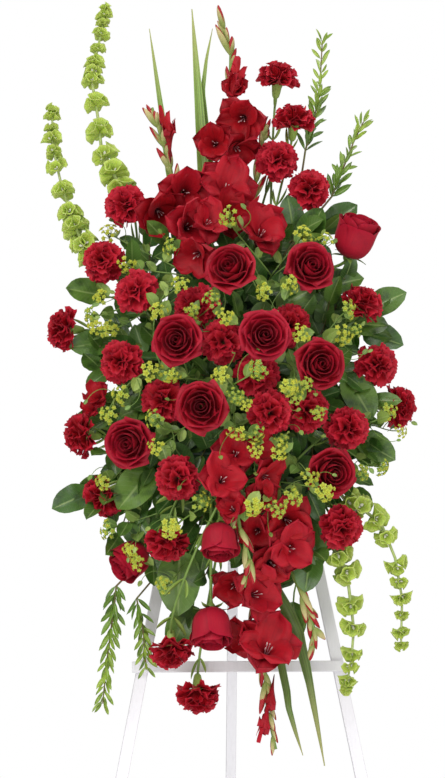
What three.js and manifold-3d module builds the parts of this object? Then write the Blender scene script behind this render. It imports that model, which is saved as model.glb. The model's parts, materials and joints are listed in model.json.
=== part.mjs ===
// A standing funeral spray: red roses, carnations and gladioli with bells of Ireland, bupleurum,
// myrtle and salal, in floral foam on a white wooden easel with three legs.
// Millimetres, +Z up. The viewer stands on the -Y side.
import * as THREE from "three";
import { mergeVertices } from "three/addons/utils/BufferGeometryUtils.js";
import Module from "manifold-3d";

const wasm = await Module();
wasm.setup();

// The easel. The front legs lie in one plane, which leans back.
const CENTRE_X = -4;
const APEX_HEIGHT = 1427;
const LEAN = 0.1763;
const SPLAY = 0.197;
const LEG_WIDTH = 18;
const LEG_HALF_DEPTH = 9.14;
const LEG_TOP = 1378;
const CROSSBAR = { height: 683, left: 163, right: 151, tall: 16, thick: 12 };
const SEAT_GAP = 0.3;
const LEG_FACE = 9;
const HINGE_HEIGHT = 1365;
const HEAD_PLATE = { halfWidth: 30, below: 35, above: 25, thick: 10 };
const CHEEK = { inner: 8.4, thick: 7, reach: 21, half: 12 };
const REAR_LEG = { width: 16, halfDepth: 9, footY: 330 };
const PIN = { radius: 4, head: 8, nut: 7, headThick: 3, nutThick: 4.5 };

// The holder. Its parts are measured from the front plane at HOLDER_HEIGHT.
const HOLDER_HEIGHT = 1095;
const TRAY = { halfWidth: 96.8, halfHeight: 167.8, wall: 2.4, floor: 2.4, depth: 26.7 };
const FOAM = { halfWidth: 94, halfHeight: 165, back: 13.9, front: 100.4 };
const CAGE = { bar: 3, thick: 2.4, columns: [-60, 60], rows: [-110, 0, 110], strap: 6 };
const TIE = { innerHalf: 10.8, thick: 1.6, tall: 5, play: 0.4, places: [105, -60] };
const ROOT = { side: 9, inside: 35, outside: 10, play: 0.3 };

// The holes that bunches can take in the foam: columns on its face, rows one pitch apart
const SLOT_COLUMNS = [-75, -45, -15, 15, 45, 75];
const SLOT_ROWS = 12;
const SIDE_SLOT_TOP = 130;
const TOP_COLUMNS = [-60, -30, 0, 30, 60];
const TOP_SLOT_OUT = 82;
const SLOT_PITCH = 27.5;
const SIDE_SLOT_OUT = 52;
const TURN_COST = 90;

// Flowers: the room that each takes among the others, the radius that stems keep out of, and
// how far behind its middle the stem ends.
const KINDS = {
  rose: { reach: 37, guard: 41, back: 22 },
  closed_rose: { reach: 33, guard: 35, back: 33 },
  carnation: { reach: 34, guard: 37, back: 32 },
  umbel: { reach: 16, guard: 17, back: 4 },
  leaf: { reach: 17, guard: 26, back: 30 },
};
const STEM_RADIUS = 2;
const STEM_CLEAR = 0.9;
const STEM_SHARES = [0, 0.15, 0.6, 1];
const STEM_SPREAD = 2.8;
const LEAD = 17;
const STEM_SINK = 3;
const SPIKE_RADIUS = 2.6;
const TWIG_RADIUS = 1.8;
const BUD_RADIUS = 4.5;
const BULGE_STEP = 10;
const BULGE_LEVELS = 10;
const SETTLE_ROUNDS = 80;
const SETTLE_ACROSS = 0.7;
const OWN_GUARD = 0.6;
const FOAM_CLEAR = 6;

const WHITE_PAINT = new THREE.MeshStandardMaterial({ color: 0xe9e8ec, roughness: 0.45 });
const ZINC = new THREE.MeshStandardMaterial({ color: 0x9a9da1, roughness: 0.35, metalness: 1 });
const HOLDER_GREEN = new THREE.MeshStandardMaterial({ color: 0x1f3b24, roughness: 0.5 });
const FOAM_GREEN = new THREE.MeshStandardMaterial({ color: 0x2f5a35, roughness: 0.95 });
const ROSE_RED = new THREE.MeshStandardMaterial({ color: 0xa50f1c, roughness: 0.6 });
const CARNATION_RED = new THREE.MeshStandardMaterial({ color: 0xc01824, roughness: 0.7 });
const GLADIOLUS_RED = new THREE.MeshStandardMaterial({ color: 0xcc1f22, roughness: 0.55 });
const BELL_GREEN = new THREE.MeshStandardMaterial({ color: 0x9bb83a, roughness: 0.6 });
const MYRTLE_GREEN = new THREE.MeshStandardMaterial({ color: 0x2f5526, roughness: 0.4 });
const SALAL_GREEN = new THREE.MeshStandardMaterial({ color: 0x3e5a26, roughness: 0.4 });
const UMBEL_GREEN = new THREE.MeshStandardMaterial({ color: 0xb7c233, roughness: 0.7 });
const BLADE_GREEN = new THREE.MeshStandardMaterial({ color: 0x6f8f3c, roughness: 0.5 });

// Where each flower is: across, height, distance in front of the easel's plane, then the way
// it faces where that isn't the viewer, and its size where that isn't one.
const UP = [0.1, -0.35, 1];
const UP_RIGHT = [0.7, -0.5, 0.7];
const UPWARD = [0.3, -0.35, 0.9];
const DOWN = [0, -0.45, -1];
const LEFT = [-1, -0.4, 0.1];
const LEFT_DOWN = [-0.9, -0.5, -0.6];
const RIGHT = [1, -0.5, 0];
const ROSES = {
  rose_top: [[-24, 1276, 215, [-0.35, -1, 0.4]]],
  rose_upper_right: [[96, 1288, 165], [168, 1328, 110, UPWARD, 1.1]],
  rose_left: [[-90, 1170, 215]],
  rose_centre: [[14, 1174, 225]],
  rose_right: [[104, 1134, 205]],
  rose_low_centre: [[-66, 1078, 235]],
  rose_low_left: [[-172, 1022, 150], [-168, 850, 95, LEFT_DOWN, 0.92]],
  rose_low_right: [[124, 978, 160]],
  rose_hanging: [[-40, 884, 190, DOWN, 0.88], [-50, 754, 120, DOWN]],
};
const CARNATIONS = {
  carnation_top: [[60, 1590, 40, UP], [92, 1508, 60, UP]],
  carnation_upper_middle: [[60, 1446, 92], [98, 1410, 95]],
  carnation_upper_left: [[-170, 1374, 90], [-214, 1294, 95]],
  carnation_left: [[-164, 1244, 150], [-276, 1192, 70, LEFT]],
  carnation_lower_left: [[-186, 1140, 150], [-248, 1034, 90, LEFT], [-220, 936, 80, LEFT_DOWN]],
  carnation_low_centre: [[-102, 968, 190], [-114, 872, 150, DOWN]],
  carnation_mid_left: [[-38, 1170, 205], [-122, 1083, 148], [-78, 1228, 170]],
  carnation_middle: [[66, 1194, 165], [16, 1116, 185], [40, 1066, 205], [80, 1070, 185]],
  carnation_right: [[202, 1134, 100], [238, 1072, 60, RIGHT], [182, 1226, 110, UP_RIGHT]],
  carnation_low_right: [[152, 1042, 150], [142, 894, 110]],
  carnation_hanging: [[-128, 712, 70, DOWN], [-70, 642, 50, DOWN]],
};
const UMBELS = {
  bupleurum_upper_left: [
    [-198, 1344, 80], [-176, 1284, 130], [-216, 1238, 110], [-230, 1210, 100],
    [-202, 1190, 110], [-110, 1308, 170],
  ],
  bupleurum_left: [
    [-94, 1248, 190], [-130, 1214, 185], [-136, 1126, 190], [-186, 1090, 150],
    [-202, 1061, 146], [-136, 1056, 190],
  ],
  bupleurum_top: [
    [-26, 1354, 190], [118, 1324, 150], [90, 1324, 160], [24, 1242, 215], [66, 1250, 200],
  ],
  bupleurum_centre: [
    [-52, 1230, 220], [-110, 1118, 210], [-42, 1118, 240], [14, 1128, 235],
    [-16, 1036, 240], [12, 1038, 235], [58, 1100, 236],
  ],
  bupleurum_right: [
    [78, 1182, 220], [158, 1220, 150], [144, 1180, 170], [218, 1066, 90], [206, 984, 100],
  ],
  bupleurum_low: [
    [-206, 892, 100], [-110, 898, 190], [-68, 940, 200], [46, 1012, 225],
    [8, 932, 235], [66, 946, 200], [112, 952, 200],
  ],
};
// Salal leaves take, after their place, the angle in degrees at which the tip points, and a size.
const SALAL = {
  salal_left: [
    [-234, 1246, 60, 170], [-226, 1168, 70, 185], [-224, 1052, 60, 190], [-250, 936, 54, 200],
  ],
  salal_low_left: [
    [-160, 956, 100, 230, 1.3], [-98, 820, 90, 268, 1.5], [-92, 752, 60, 240, 1.1],
    [-152, 1074, 110, 200],
  ],
  salal_top_right: [
    [74, 1362, 90, 100, 0.9], [104, 1344, 90, 60], [148, 1360, 60, 40], [72, 1234, 142, 30],
  ],
  salal_right: [
    [148, 1260, 90, 18, 0.95], [216, 1232, 60, 30], [186, 1202, 80, 0], [208, 1180, 60, -15],
  ],
  salal_low_right: [
    [172, 1092, 90, -60, 1.2], [196, 1012, 80, -30], [102, 878, 110, -80], [92, 836, 104, -100],
    [70, 756, 60, -95],
  ],
};
// Spikes follow a path out of the foam. Florets and buds stand off it: place, then radius.
const GLADIOLI = {
  gladiolus_tall: {
    path: [[-30, 1312, 80], [-24, 1400, 60], [-18, 1500, 55], [-14, 1618, 45], [-24, 1660, 40]],
    florets: [
      [-22, 1408, 105, 38], [-42, 1474, 90, 27], [-2, 1508, 95, 34], [-4, 1462, 88, 27],
      [-10, 1561, 70, 18], [-20, 1362, 122, 31],
    ],
    buds: [[-26, 1590, 60], [-10, 1612, 60], [-30, 1640, 50]],
  },
  gladiolus_left: {
    path: [[-94, 1330, 96], [-100, 1400, 70], [-118, 1470, 60], [-136, 1532, 60]],
    florets: [
      [-122, 1361, 110, 34], [-88, 1396, 98, 35], [-79, 1343, 142, 34], [-76, 1294, 165, 31],
      [-52, 1350, 150, 27],
    ],
    buds: [[-148, 1490, 66], [-130, 1432, 76], [-104, 1478, 70], [-94, 1450, 70], [-128, 1514, 70]],
  },
  gladiolus_right: {
    path: [[24, 1310, 90], [16, 1380, 70], [30, 1450, 60], [38, 1514, 56]],
    florets: [[27, 1336, 150, 34]],
    buds: [[22, 1410, 84], [6, 1390, 84], [40, 1476, 50], [26, 1490, 50]],
  },
  gladiolus_low: {
    path: [[30, 880, 90], [20, 800, 75], [24, 730, 65], [30, 670, 60], [32, 625, 60], [44, 572, 60]],
    florets: [
      [60, 906, 160, 33], [66, 868, 150, 32], [38, 843, 140, 29], [20, 803, 135, 33],
      [32, 730, 120, 39], [-8, 736, 95, 25], [-21, 810, 115, 28], [14, 891, 150, 25],
    ],
    buds: [[6, 688, 84], [46, 664, 76], [20, 628, 72], [46, 624, 72]],
  },
  gladiolus_low_right: {
    path: [[60, 850, 90], [76, 814, 100], [86, 784, 100], [100, 750, 90], [98, 726, 86]],
    florets: [],
    buds: [[92, 800, 100], [78, 770, 100], [108, 760, 90], [90, 736, 90]],
  },
  gladiolus_low_centre: {
    path: [[-18, 1010, 160], [-22, 960, 180], [-12, 900, 186], [2, 856, 184], [-6, 816, 180]],
    florets: [
      [-17, 1009, 200, 28], [20, 1015, 205, 22], [-32, 971, 205, 30], [30, 971, 195, 26],
      [21, 945, 190, 22], [-25, 931, 205, 20],
    ],
    buds: [[4, 900, 196], [-10, 860, 194], [10, 836, 190]],
  },
};
const BELLS = {
  bells_tall: {
    path: [
      [-180, 1402, 55], [-198, 1434, 50], [-214, 1470, 45], [-220, 1522, 40], [-228, 1570, 35],
      [-226, 1602, 35], [-214, 1658, 30], [-210, 1690, 30],
    ],
    whorls: 9,
  },
  bells_left: {
    path: [
      [-228, 1294, 50], [-246, 1330, 50], [-260, 1364, 45], [-276, 1416, 40], [-290, 1478, 35],
      [-290, 1530, 30],
    ],
    whorls: 8,
  },
  bells_low: {
    path: [
      [136, 858, 90], [150, 830, 85], [156, 780, 80], [160, 746, 75], [156, 702, 70],
      [148, 662, 70],
    ],
    whorls: 6,
  },
  bells_low_right: {
    path: [
      [148, 936, 100], [172, 924, 95], [202, 900, 90], [222, 850, 85], [232, 790, 78],
      [230, 726, 70],
    ],
    whorls: 7,
  },
};
const MYRTLE = {
  myrtle_tall: {
    path: [[100, 1468, 45], [114, 1516, 40], [124, 1560, 35], [130, 1644, 30]],
    pairs: 8,
  },
  myrtle_right: {
    path: [[138, 1394, 65], [150, 1422, 60], [174, 1480, 50], [190, 1512, 50]],
    pairs: 6,
  },
  myrtle_low_left: {
    path: [[-190, 808, 55], [-196, 758, 50], [-204, 698, 45], [-210, 636, 40]],
    pairs: 9,
  },
  myrtle_low: { path: [[-160, 790, 60], [-150, 740, 60], [-146, 690, 60]], pairs: 5 },
};
// Gladiolus leaf blades: a path each, and the widest half width.
const LEAF_BLADES = {
  leaf_blades_top: [
    { path: [[-96, 1360, 34], [-120, 1520, 32], [-140, 1660, 40]], half: 6 },
    { path: [[-56, 1400, 48], [-64, 1544, 50], [-74, 1690, 50]], half: 9 },
    { path: [[-46, 1440, 40], [-58, 1560, 44], [-42, 1660, 46]], half: 5 },
  ],
  leaf_blades_low: [
    { path: [[64, 772, 80], [82, 720, 66], [94, 668, 70], [114, 550, 74]], half: 9 },
    { path: [[52, 700, 60], [62, 634, 85], [82, 566, 80]], half: 6 },
  ],
};

const planeY = (height) => -LEAN * (APEX_HEIGHT - height);
const place = ([x, height, out]) => new THREE.Vector3(x, planeY(height) - out, height);
const vector = (x, y, z) => new THREE.Vector3(x, y, z);

// Solids: joins and cuts
function solidOf(geometry) {
  const bare = geometry.clone();
  bare.deleteAttribute("normal");
  bare.deleteAttribute("uv");
  const merged = mergeVertices(bare, 1e-4);
  const solid = new wasm.Mesh({
    numProp: 3,
    vertProperties: new Float32Array(merged.attributes.position.array),
    triVerts: new Uint32Array(merged.index.array),
  });
  return new wasm.Manifold(solid);
}

function geometryOf(solid) {
  const { vertProperties, triVerts } = solid.getMesh();
  const geometry = new THREE.BufferGeometry();
  geometry.setAttribute("position", new THREE.BufferAttribute(vertProperties, 3));
  geometry.setIndex(new THREE.BufferAttribute(triVerts, 1));
  return geometry;
}

// Joins solids into one. A hollow that joining seals is filled.
function join(geometries) {
  const joined = geometries.map(solidOf).reduce((all, next) => all.add(next));
  const bodies = joined.decompose();
  return geometryOf(bodies.reduce((a, b) => (b.volume() > a.volume() ? b : a)));
}

const cut = (geometry, tools) =>
  geometryOf(tools.map(solidOf).reduce((rest, tool) => rest.subtract(tool), solidOf(geometry)));

function box(x0, x1, y0, y1, z0, z1) {
  const geometry = new THREE.BoxGeometry(x1 - x0, y1 - y0, z1 - z0);
  return geometry.translate((x0 + x1) / 2, (y0 + y1) / 2, (z0 + z1) / 2);
}

// A closed skin through rings of points, drawn in to a point at each end. Rings run anticlockwise
// round the way that the skin grows, and neighbours may differ in their number of points.
function skin(rings, start, end) {
  const points = [start, ...rings.flat(), end];
  const faces = [];
  let first = 1;
  const indices = rings.map((ring) => {
    const row = ring.map((_, k) => first + k);
    first += ring.length;
    return [...row, row[0]];
  });
  const fan = (row, tip, turned) => {
    for (let k = 0; k + 1 < row.length; k++) {
      faces.push(tip, turned ? row[k + 1] : row[k], turned ? row[k] : row[k + 1]);
    }
  };
  fan(indices[0], 0, true);
  for (let r = 0; r + 1 < indices.length; r++) {
    const [lower, upper] = [indices[r], indices[r + 1]];
    let [i, j] = [0, 0];
    while (i + 1 < lower.length || j + 1 < upper.length) {
      if ((i + 1) / (lower.length - 1) <= (j + 1) / (upper.length - 1)) {
        faces.push(lower[i], lower[i + 1], upper[j]);
        i += 1;
      } else {
        faces.push(lower[i], upper[j + 1], upper[j]);
        j += 1;
      }
    }
  }
  fan(indices.at(-1), points.length - 1, false);
  const geometry = new THREE.BufferGeometry().setFromPoints(points);
  geometry.setIndex(faces);
  return geometry;
}

// Any vector square to a direction, turned as a reference direction asks
function squareTo(direction, reference) {
  const seen = reference ?? (Math.abs(direction.z) > 0.9 ? vector(0, 1, 0) : vector(0, 0, 1));
  return seen.clone().cross(direction).normalize();
}

// The ways along a line at each of its points
const waysAlong = (points) => points.map((_, i) => (
  wayBetween(points[Math.max(i - 1, 0)], points[Math.min(i + 1, points.length - 1)])
));

// A side carried from one way to another by the smallest turn
const carried = (side, from, to) =>
  side.clone().applyQuaternion(new THREE.Quaternion().setFromUnitVectors(from, to));

// Rings round a line of points, with a half width and a half thickness at each point
function tubeRings(points, sides, halfWidth, halfThick, across) {
  const side = across.clone();
  const ways = waysAlong(points);
  return points.map((point, i) => {
    const along = ways[i];
    side.addScaledVector(along, -side.dot(along)).normalize();
    const other = along.clone().cross(side);
    return Array.from({ length: sides }, (_, k) => {
      const angle = (k / sides) * 2 * Math.PI;
      return point.clone()
        .addScaledVector(side, halfWidth(i) * Math.cos(angle))
        .addScaledVector(other, halfThick(i) * Math.sin(angle));
    });
  });
}

const tube = (points, sides, halfWidth, halfThick, across) =>
  skin(tubeRings(points, sides, halfWidth, halfThick, across), points[0], points.at(-1));
const wayBetween = (a, b) => b.clone().sub(a).normalize();

// The matrix that turns a shape facing +Z to face a direction, and moves it to a point
function facing(point, direction, across = squareTo(direction)) {
  const matrix = new THREE.Matrix4().makeBasis(across, direction.clone().cross(across), direction);
  return matrix.setPosition(point);
}

// Flower shapes, facing +Z, as rows of rings: radius, height, and the petals' waves in both
function blossom(rows, count, petals, end, scale = [1, 1]) {
  const [wide, tall] = scale;
  const rings = rows.map(([radius, height, wave = 0, lift = 0, shift = 0]) => {
    const points = wave ? count : count / 2;
    return Array.from({ length: points }, (_, k) => {
      const angle = (k / points) * 2 * Math.PI;
      const swell = Math.cos(petals * angle + shift);
      const r = (radius + wave * swell) * wide;
      return vector(r * Math.cos(angle), r * Math.sin(angle), (height + lift * swell) * tall);
    });
  });
  return { rings, end: vector(0, 0, end * tall) };
}

function roseShape(size) {
  const rows = [
    [30, -8, 1.5, 2], [38, 6, 3, -3], [25, 1, 2, -2],
    [26, 16, 2.5, -2, Math.PI], [13, 8, 1, 0, Math.PI],
  ];
  return blossom(rows, 15, 5, 20, [size, size]);
}

function closedRoseShape(size) {
  const rows = [[19, -27], [31, -8, 1, 0.5], [30, 14, 1.5, 1], [24, 29, 2, -2], [12, 22, 1, -1, Math.PI]];
  return blossom(rows, 15, 5, 25, [size, size]);
}

function carnationShape(size) {
  const rows = [[6, -25], [34, -4, 2.5, 3], [20, 0, 1, 2], [28, 9, 2.5, -2.5], [12, 7, 1, -1]];
  return blossom(rows, 10, 5, 19, [size, size]);
}

// A floret leaves its stalk along one way and opens to another. Its rows are rings: radius, depth
// behind the mouth, and the tepals' waves in both, in radii.
const FLORET_ROWS = [[0.34, 0.6], [0.87, 0, 0.13, 0.1]];
const FLORET_END = 0.5;
function floretSkin(base, mouth, face, radius) {
  const across = squareTo(face);
  const rings = FLORET_ROWS.map(([wide, deep, wave, lift]) => {
    const row = [wide * radius, -deep * radius, (wave ?? 0) * radius, (lift ?? 0) * radius];
    return blossom([row], 12, 6, 0).rings[0].map((p) => p.applyMatrix4(facing(mouth, face, across)));
  });
  return skin(rings, base, mouth.clone().addScaledVector(face, -radius * FLORET_END));
}

const budShape = (length, radius) => blossom([[radius, length * 0.45]], 8, 1, length);
const bellShape = (size) => blossom([[14 * size, 16 * size]], 10, 1, 6 * size);
const umbelShape = () => blossom([[13, 0, 3.5, 1]], 10, 5, 2.5);

// A leaf that grows along +Z. Its edges are at -X and +X, with a raised rib between them.
const LEAF_RIB = 1;
const LEAF_BACK = 0.6;
function leafShape(length, width, rows) {
  const rings = rows.map(([along, wide]) => {
    const [half, height] = [wide * width / 2, along * length];
    return [
      vector(half, 0, height), vector(0, LEAF_RIB, height),
      vector(-half, 0, height), vector(0, -LEAF_BACK, height),
    ];
  });
  return { rings, end: vector(0, 0, length) };
}

const SALAL_ROWS = [[0.14, 0.6], [0.42, 1], [0.76, 0.68]];
const MYRTLE_ROWS = [[0.42, 1]];

// A shape of its own, set on a point and facing a direction
function shapeSkin({ rings, end }, point, direction, across) {
  const matrix = facing(point, direction, across);
  return skin(rings, vector(0, 0, 0), end).applyMatrix4(matrix);
}

// A shape and its stem in one skin. The stem's side is carried back from the shape, so that the
// skin doesn't twist.
function stemmedSkin(points, radius, { rings, end }, base, direction, across) {
  const matrix = facing(base, direction, across);
  const ways = [...waysAlong(points), direction];
  const start = ways.reduceRight((side, way, i) => (i > 0 ? carried(side, way, ways[i - 1]) : side), across);
  const stemRings = tubeRings(points, 3, () => radius, () => radius, start);
  const shapeRings = rings.map((ring) => ring.map((p) => p.applyMatrix4(matrix)));
  return skin([...stemRings, ...shapeRings], points[0], end.applyMatrix4(matrix));
}

// Paths
function curveThrough(points) {
  return new THREE.CatmullRomCurve3(points, false, "catmullrom", 0.5);
}

function nearestOn(points, target) {
  return points.reduce((best, p) => (p.distanceTo(target) < best.distanceTo(target) ? p : best));
}

// The point at a share of a line's steps, and the directions along and square to the line there
function frameOn(points, share) {
  const step = Math.min(share * (points.length - 1), points.length - 1.001);
  const [a, b] = [points[Math.floor(step)], points[Math.floor(step) + 1]];
  const along = b.clone().sub(a).normalize();
  const side = squareTo(along);
  const centre = a.clone().lerp(b, step - Math.floor(step));
  return { centre, along, side, other: along.clone().cross(side) };
}

// The holder's own frame, and the places where a bunch can enter the foam
const leanAngle = -Math.atan(LEAN);
function leaningMatrix(height) {
  const matrix = new THREE.Matrix4().makeRotationX(leanAngle);
  return matrix.setPosition(CENTRE_X, planeY(height), height);
}
const holderMatrix = leaningMatrix(HOLDER_HEIGHT);

function foamSlots() {
  const slots = [];
  const add = (x, out, up, normal) => slots.push({ at: vector(x, -out, up), normal });
  for (let row = 0; row < SLOT_ROWS; row++) {
    const up = (row - (SLOT_ROWS - 1) / 2) * SLOT_PITCH;
    for (const x of SLOT_COLUMNS) add(x, FOAM.front, up, vector(0, -1, 0));
    if (Math.abs(up) < SIDE_SLOT_TOP) {
      add(-FOAM.halfWidth, SIDE_SLOT_OUT, up, vector(-1, 0, 0));
      add(FOAM.halfWidth, SIDE_SLOT_OUT, up, vector(1, 0, 0));
    }
  }
  for (const x of SLOT_COLUMNS) {
    add(x, SIDE_SLOT_OUT, FOAM.halfHeight, vector(0, 0, 1));
    add(x, SIDE_SLOT_OUT, -FOAM.halfHeight, vector(0, 0, -1));
  }
  for (const x of TOP_COLUMNS) add(x, TOP_SLOT_OUT, FOAM.halfHeight, vector(0, 0, 1));
  for (const slot of slots) {
    slot.mouth = slot.at.clone().applyMatrix4(holderMatrix);
    slot.out = slot.normal.clone().transformDirection(holderMatrix);
  }
  return slots;
}

const slots = foamSlots();
const usedSlots = [];

// The free slot that looks most directly at a target
function takeSlot(target) {
  const cost = ({ mouth, out }) => {
    const way = target.clone().sub(mouth);
    return way.length() + TURN_COST * (1 - out.dot(way.normalize()));
  };
  const free = slots.filter((slot) => !usedSlots.includes(slot));
  const best = free.reduce((a, b) => (cost(b) < cost(a) ? b : a));
  usedSlots.push(best);
  return best;
}

// The bunch's root: a square bundle of stems in its hole, and a little way out of it
function rootShape({ at, normal }, side, inside, outside) {
  return box(-side / 2, side / 2, -side / 2, side / 2, -inside, outside).applyMatrix4(facing(at, normal));
}
const rootSolid = (slot) =>
  rootShape(slot, ROOT.side, ROOT.inside, ROOT.outside).applyMatrix4(holderMatrix);

// Every stem and spike already laid, as lines with a radius, that later stems keep clear of
const lines = [];
function addLines(points, radius, owner) {
  for (let i = 0; i + 1 < points.length; i++) lines.push({ a: points[i], b: points[i + 1], radius, owner });
}

function gapBetween(a, b, c, d) {
  const u = b.clone().sub(a);
  const v = d.clone().sub(c);
  const w = a.clone().sub(c);
  const uu = u.dot(u);
  const vv = v.dot(v);
  const uv = u.dot(v);
  const det = uu * vv - uv * uv;
  let s = det > 1e-9 ? THREE.MathUtils.clamp((uv * v.dot(w) - vv * u.dot(w)) / det, 0, 1) : 0;
  const t = THREE.MathUtils.clamp((uv * s + v.dot(w)) / vv, 0, 1);
  s = THREE.MathUtils.clamp((uv * t - u.dot(w)) / uu, 0, 1);
  return w.addScaledVector(u, s).addScaledVector(v, -t).length();
}

// Where the stems of one bunch leave its root, side by side
function bundleStarts(slot, count) {
  const side = squareTo(slot.out);
  const other = slot.out.clone().cross(side);
  const spread = count > 1 ? STEM_SPREAD : 0;
  return Array.from({ length: count }, (_, index) => {
    const angle = (index / count) * 2 * Math.PI;
    return slot.mouth.clone().addScaledVector(slot.out, ROOT.outside - 2)
      .addScaledVector(side, spread * Math.cos(angle))
      .addScaledVector(other, spread * Math.sin(angle));
  });
}

// Spikes are laid first. A line runs straight out of the root, then along the path.
function lineFrom(start, out, points, perSpan) {
  const lead = start.clone().addScaledVector(out, LEAD);
  return [start, ...curveThrough([lead, ...points]).getPoints(points.length * perSpan)];
}

function spikeLine(places, perSpan) {
  const points = places.map(place);
  const slot = takeSlot(points[0]);
  const start = slot.mouth.clone().addScaledVector(slot.out, ROOT.outside - STEM_SINK);
  const line = lineFrom(start, slot.out, points, perSpan);
  return { slot, line, bare: (1 + perSpan) / (line.length - 1) };
}

const spikes = {};
const SPIKE_SIDE = vector(1, 0.1, 0);
const FLORET_FACE = vector(0, -1, 0.12);
const FLORET_WAY = 0.5;
const FLORET_REACH = 0.8;
function layGladiolus(name, { path, florets, buds }) {
  const { slot, line } = spikeLine(path, path.length > 4 ? 1 : 2);
  const parts = [rootSolid(slot), tube(line, 4, () => SPIKE_RADIUS, () => SPIKE_RADIUS, SPIKE_SIDE)];
  addLines(line, 3, name);
  for (const at of line.slice(2)) heads.push({ name, fixed: true, at, reach: 5 });
  for (const [x, height, out, radius] of florets) {
    const target = place([x, height, out]);
    const base = nearestOn(line, target);
    const way = wayBetween(base, target);
    const length = Math.max(base.distanceTo(target), radius * 1.1);
    const mouth = base.clone().addScaledVector(way, length);
    const face = way.multiplyScalar(FLORET_WAY).add(FLORET_FACE).normalize();
    parts.push(floretSkin(base, mouth, face, radius));
    addLines([base, mouth], radius * 0.4, name);
    heads.push({ name, fixed: true, at: mouth, reach: radius * FLORET_REACH });
  }
  for (const bud of buds) {
    const tip = place(bud);
    const base = nearestOn(line, tip);
    const way = tip.clone().sub(base);
    const length = Math.max(way.length() + 6, 20);
    way.normalize().addScaledVector(line.at(-1).clone().sub(base).normalize(), 0.6).normalize();
    parts.push(shapeSkin(budShape(length, BUD_RADIUS), base, way));
    addLines([base, base.clone().addScaledVector(way, length)], BUD_RADIUS, name);
  }
  spikes[name] = { parts, material: GLADIOLUS_RED };
}

function layBells(name, { path, whorls }) {
  const { slot, line, bare } = spikeLine(path, 1);
  const parts = [rootSolid(slot), tube(line, 3, () => SPIKE_RADIUS, () => SPIKE_RADIUS, SPIKE_SIDE)];
  addLines(line, 3, name);
  for (let w = 0; w < whorls; w++) {
    const { centre, along, side, other } = frameOn(line, bare + (1 - bare) * (w / (whorls - 0.6)));
    const size = 1.05 - 0.6 * (w / whorls) ** 1.5;
    for (let k = 0; k < 3; k++) {
      const angle = (k / 3) * 2 * Math.PI + w * 1.05;
      const way = side.clone().multiplyScalar(Math.cos(angle)).addScaledVector(other, Math.sin(angle));
      const base = centre.clone().addScaledVector(way, 0.8);
      parts.push(shapeSkin(bellShape(size), base, way.addScaledVector(along, 0.75).normalize()));
    }
    heads.push({ name, fixed: true, at: centre.addScaledVector(along, 8 * size), reach: 21 * size });
  }
  spikes[name] = { parts, material: BELL_GREEN };
}

// The way that leaves turn their upper faces
const LEAF_FACE = vector(0, -1, 0.35).normalize();

function layMyrtle(name, { path, pairs }) {
  const { slot, line, bare } = spikeLine(path, 1);
  const parts = [rootSolid(slot), tube(line, 3, () => TWIG_RADIUS, () => TWIG_RADIUS, SPIKE_SIDE)];
  addLines(line, 2, name);
  for (let p = 0; p < pairs; p++) {
    const { centre, along, side, other } = frameOn(line, bare + (1 - bare) * (p / (pairs - 0.5)));
    for (let k = 0; k < 2; k++) {
      const angle = k * Math.PI + (p % 2) * 1.2 + 0.3;
      const way = side.clone().multiplyScalar(Math.cos(angle)).addScaledVector(other, Math.sin(angle));
      way.addScaledVector(along, 1.5).normalize();
      parts.push(shapeSkin(leafShape(30 - p, 12, MYRTLE_ROWS), centre, way, squareTo(way, LEAF_FACE)));
    }
    heads.push({ name, fixed: true, at: centre.clone().addScaledVector(along, 12), reach: 12 });
  }
  spikes[name] = { parts, material: MYRTLE_GREEN };
}

function layBlades(name, blades) {
  const target = place(blades[0].path[0]).add(place(blades.at(-1).path[0])).multiplyScalar(0.5);
  const slot = takeSlot(target);
  const starts = bundleStarts(slot, blades.length);
  const parts = [rootSolid(slot)];
  for (const [index, { path, half }] of blades.entries()) {
    const line = lineFrom(starts[index], slot.out, path.map(place), 2);
    const width = (i) => (i < 2 ? 2 : half * Math.sin((Math.PI * (i + 1)) / (line.length + 0.7)) ** 0.7);
    parts.push(tube(line, 4, width, (i) => (i < 2 ? 1.5 : 0.8), vector(1, 0, 0)));
    addLines(line, half * 0.7, name);
  }
  spikes[name] = { parts, material: BLADE_GREEN };
}

// Blooms, umbels and leaves. They are gathered, moved clear of each other and given stems. Those
// further out face further outwards, by so many millimetres for a turn of 45 degrees.
const TURN_ACROSS = 420;
const TURN_UP = 800;
const heads = [];
function faceOf(at) {
  const across = (at.x - CENTRE_X) / TURN_ACROSS;
  return vector(across, -1, (at.z - HOLDER_HEIGHT) / TURN_UP).normalize();
}

// A rose that is turned well away from the viewer is one that is still closed.
const CLOSED_TURN = 0.5;
const isClosed = (way) => way !== undefined && vector(...way).normalize().y > -CLOSED_TURN;

function gather(bunches, family) {
  for (const [name, list] of Object.entries(bunches)) {
    for (const [x, height, out, way, size = 1] of list) {
      const at = place([x, height, out]);
      const kind = family === "rose" && isClosed(way) ? "closed_rose" : family;
      const head = { name, kind, at, size, reach: KINDS[kind].reach * size, way };
      if (kind === "leaf") {
        const angle = (way * Math.PI) / 180;
        head.way = [Math.cos(angle), -0.3, Math.sin(angle)];
      }
      heads.push(head);
    }
  }
}

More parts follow.
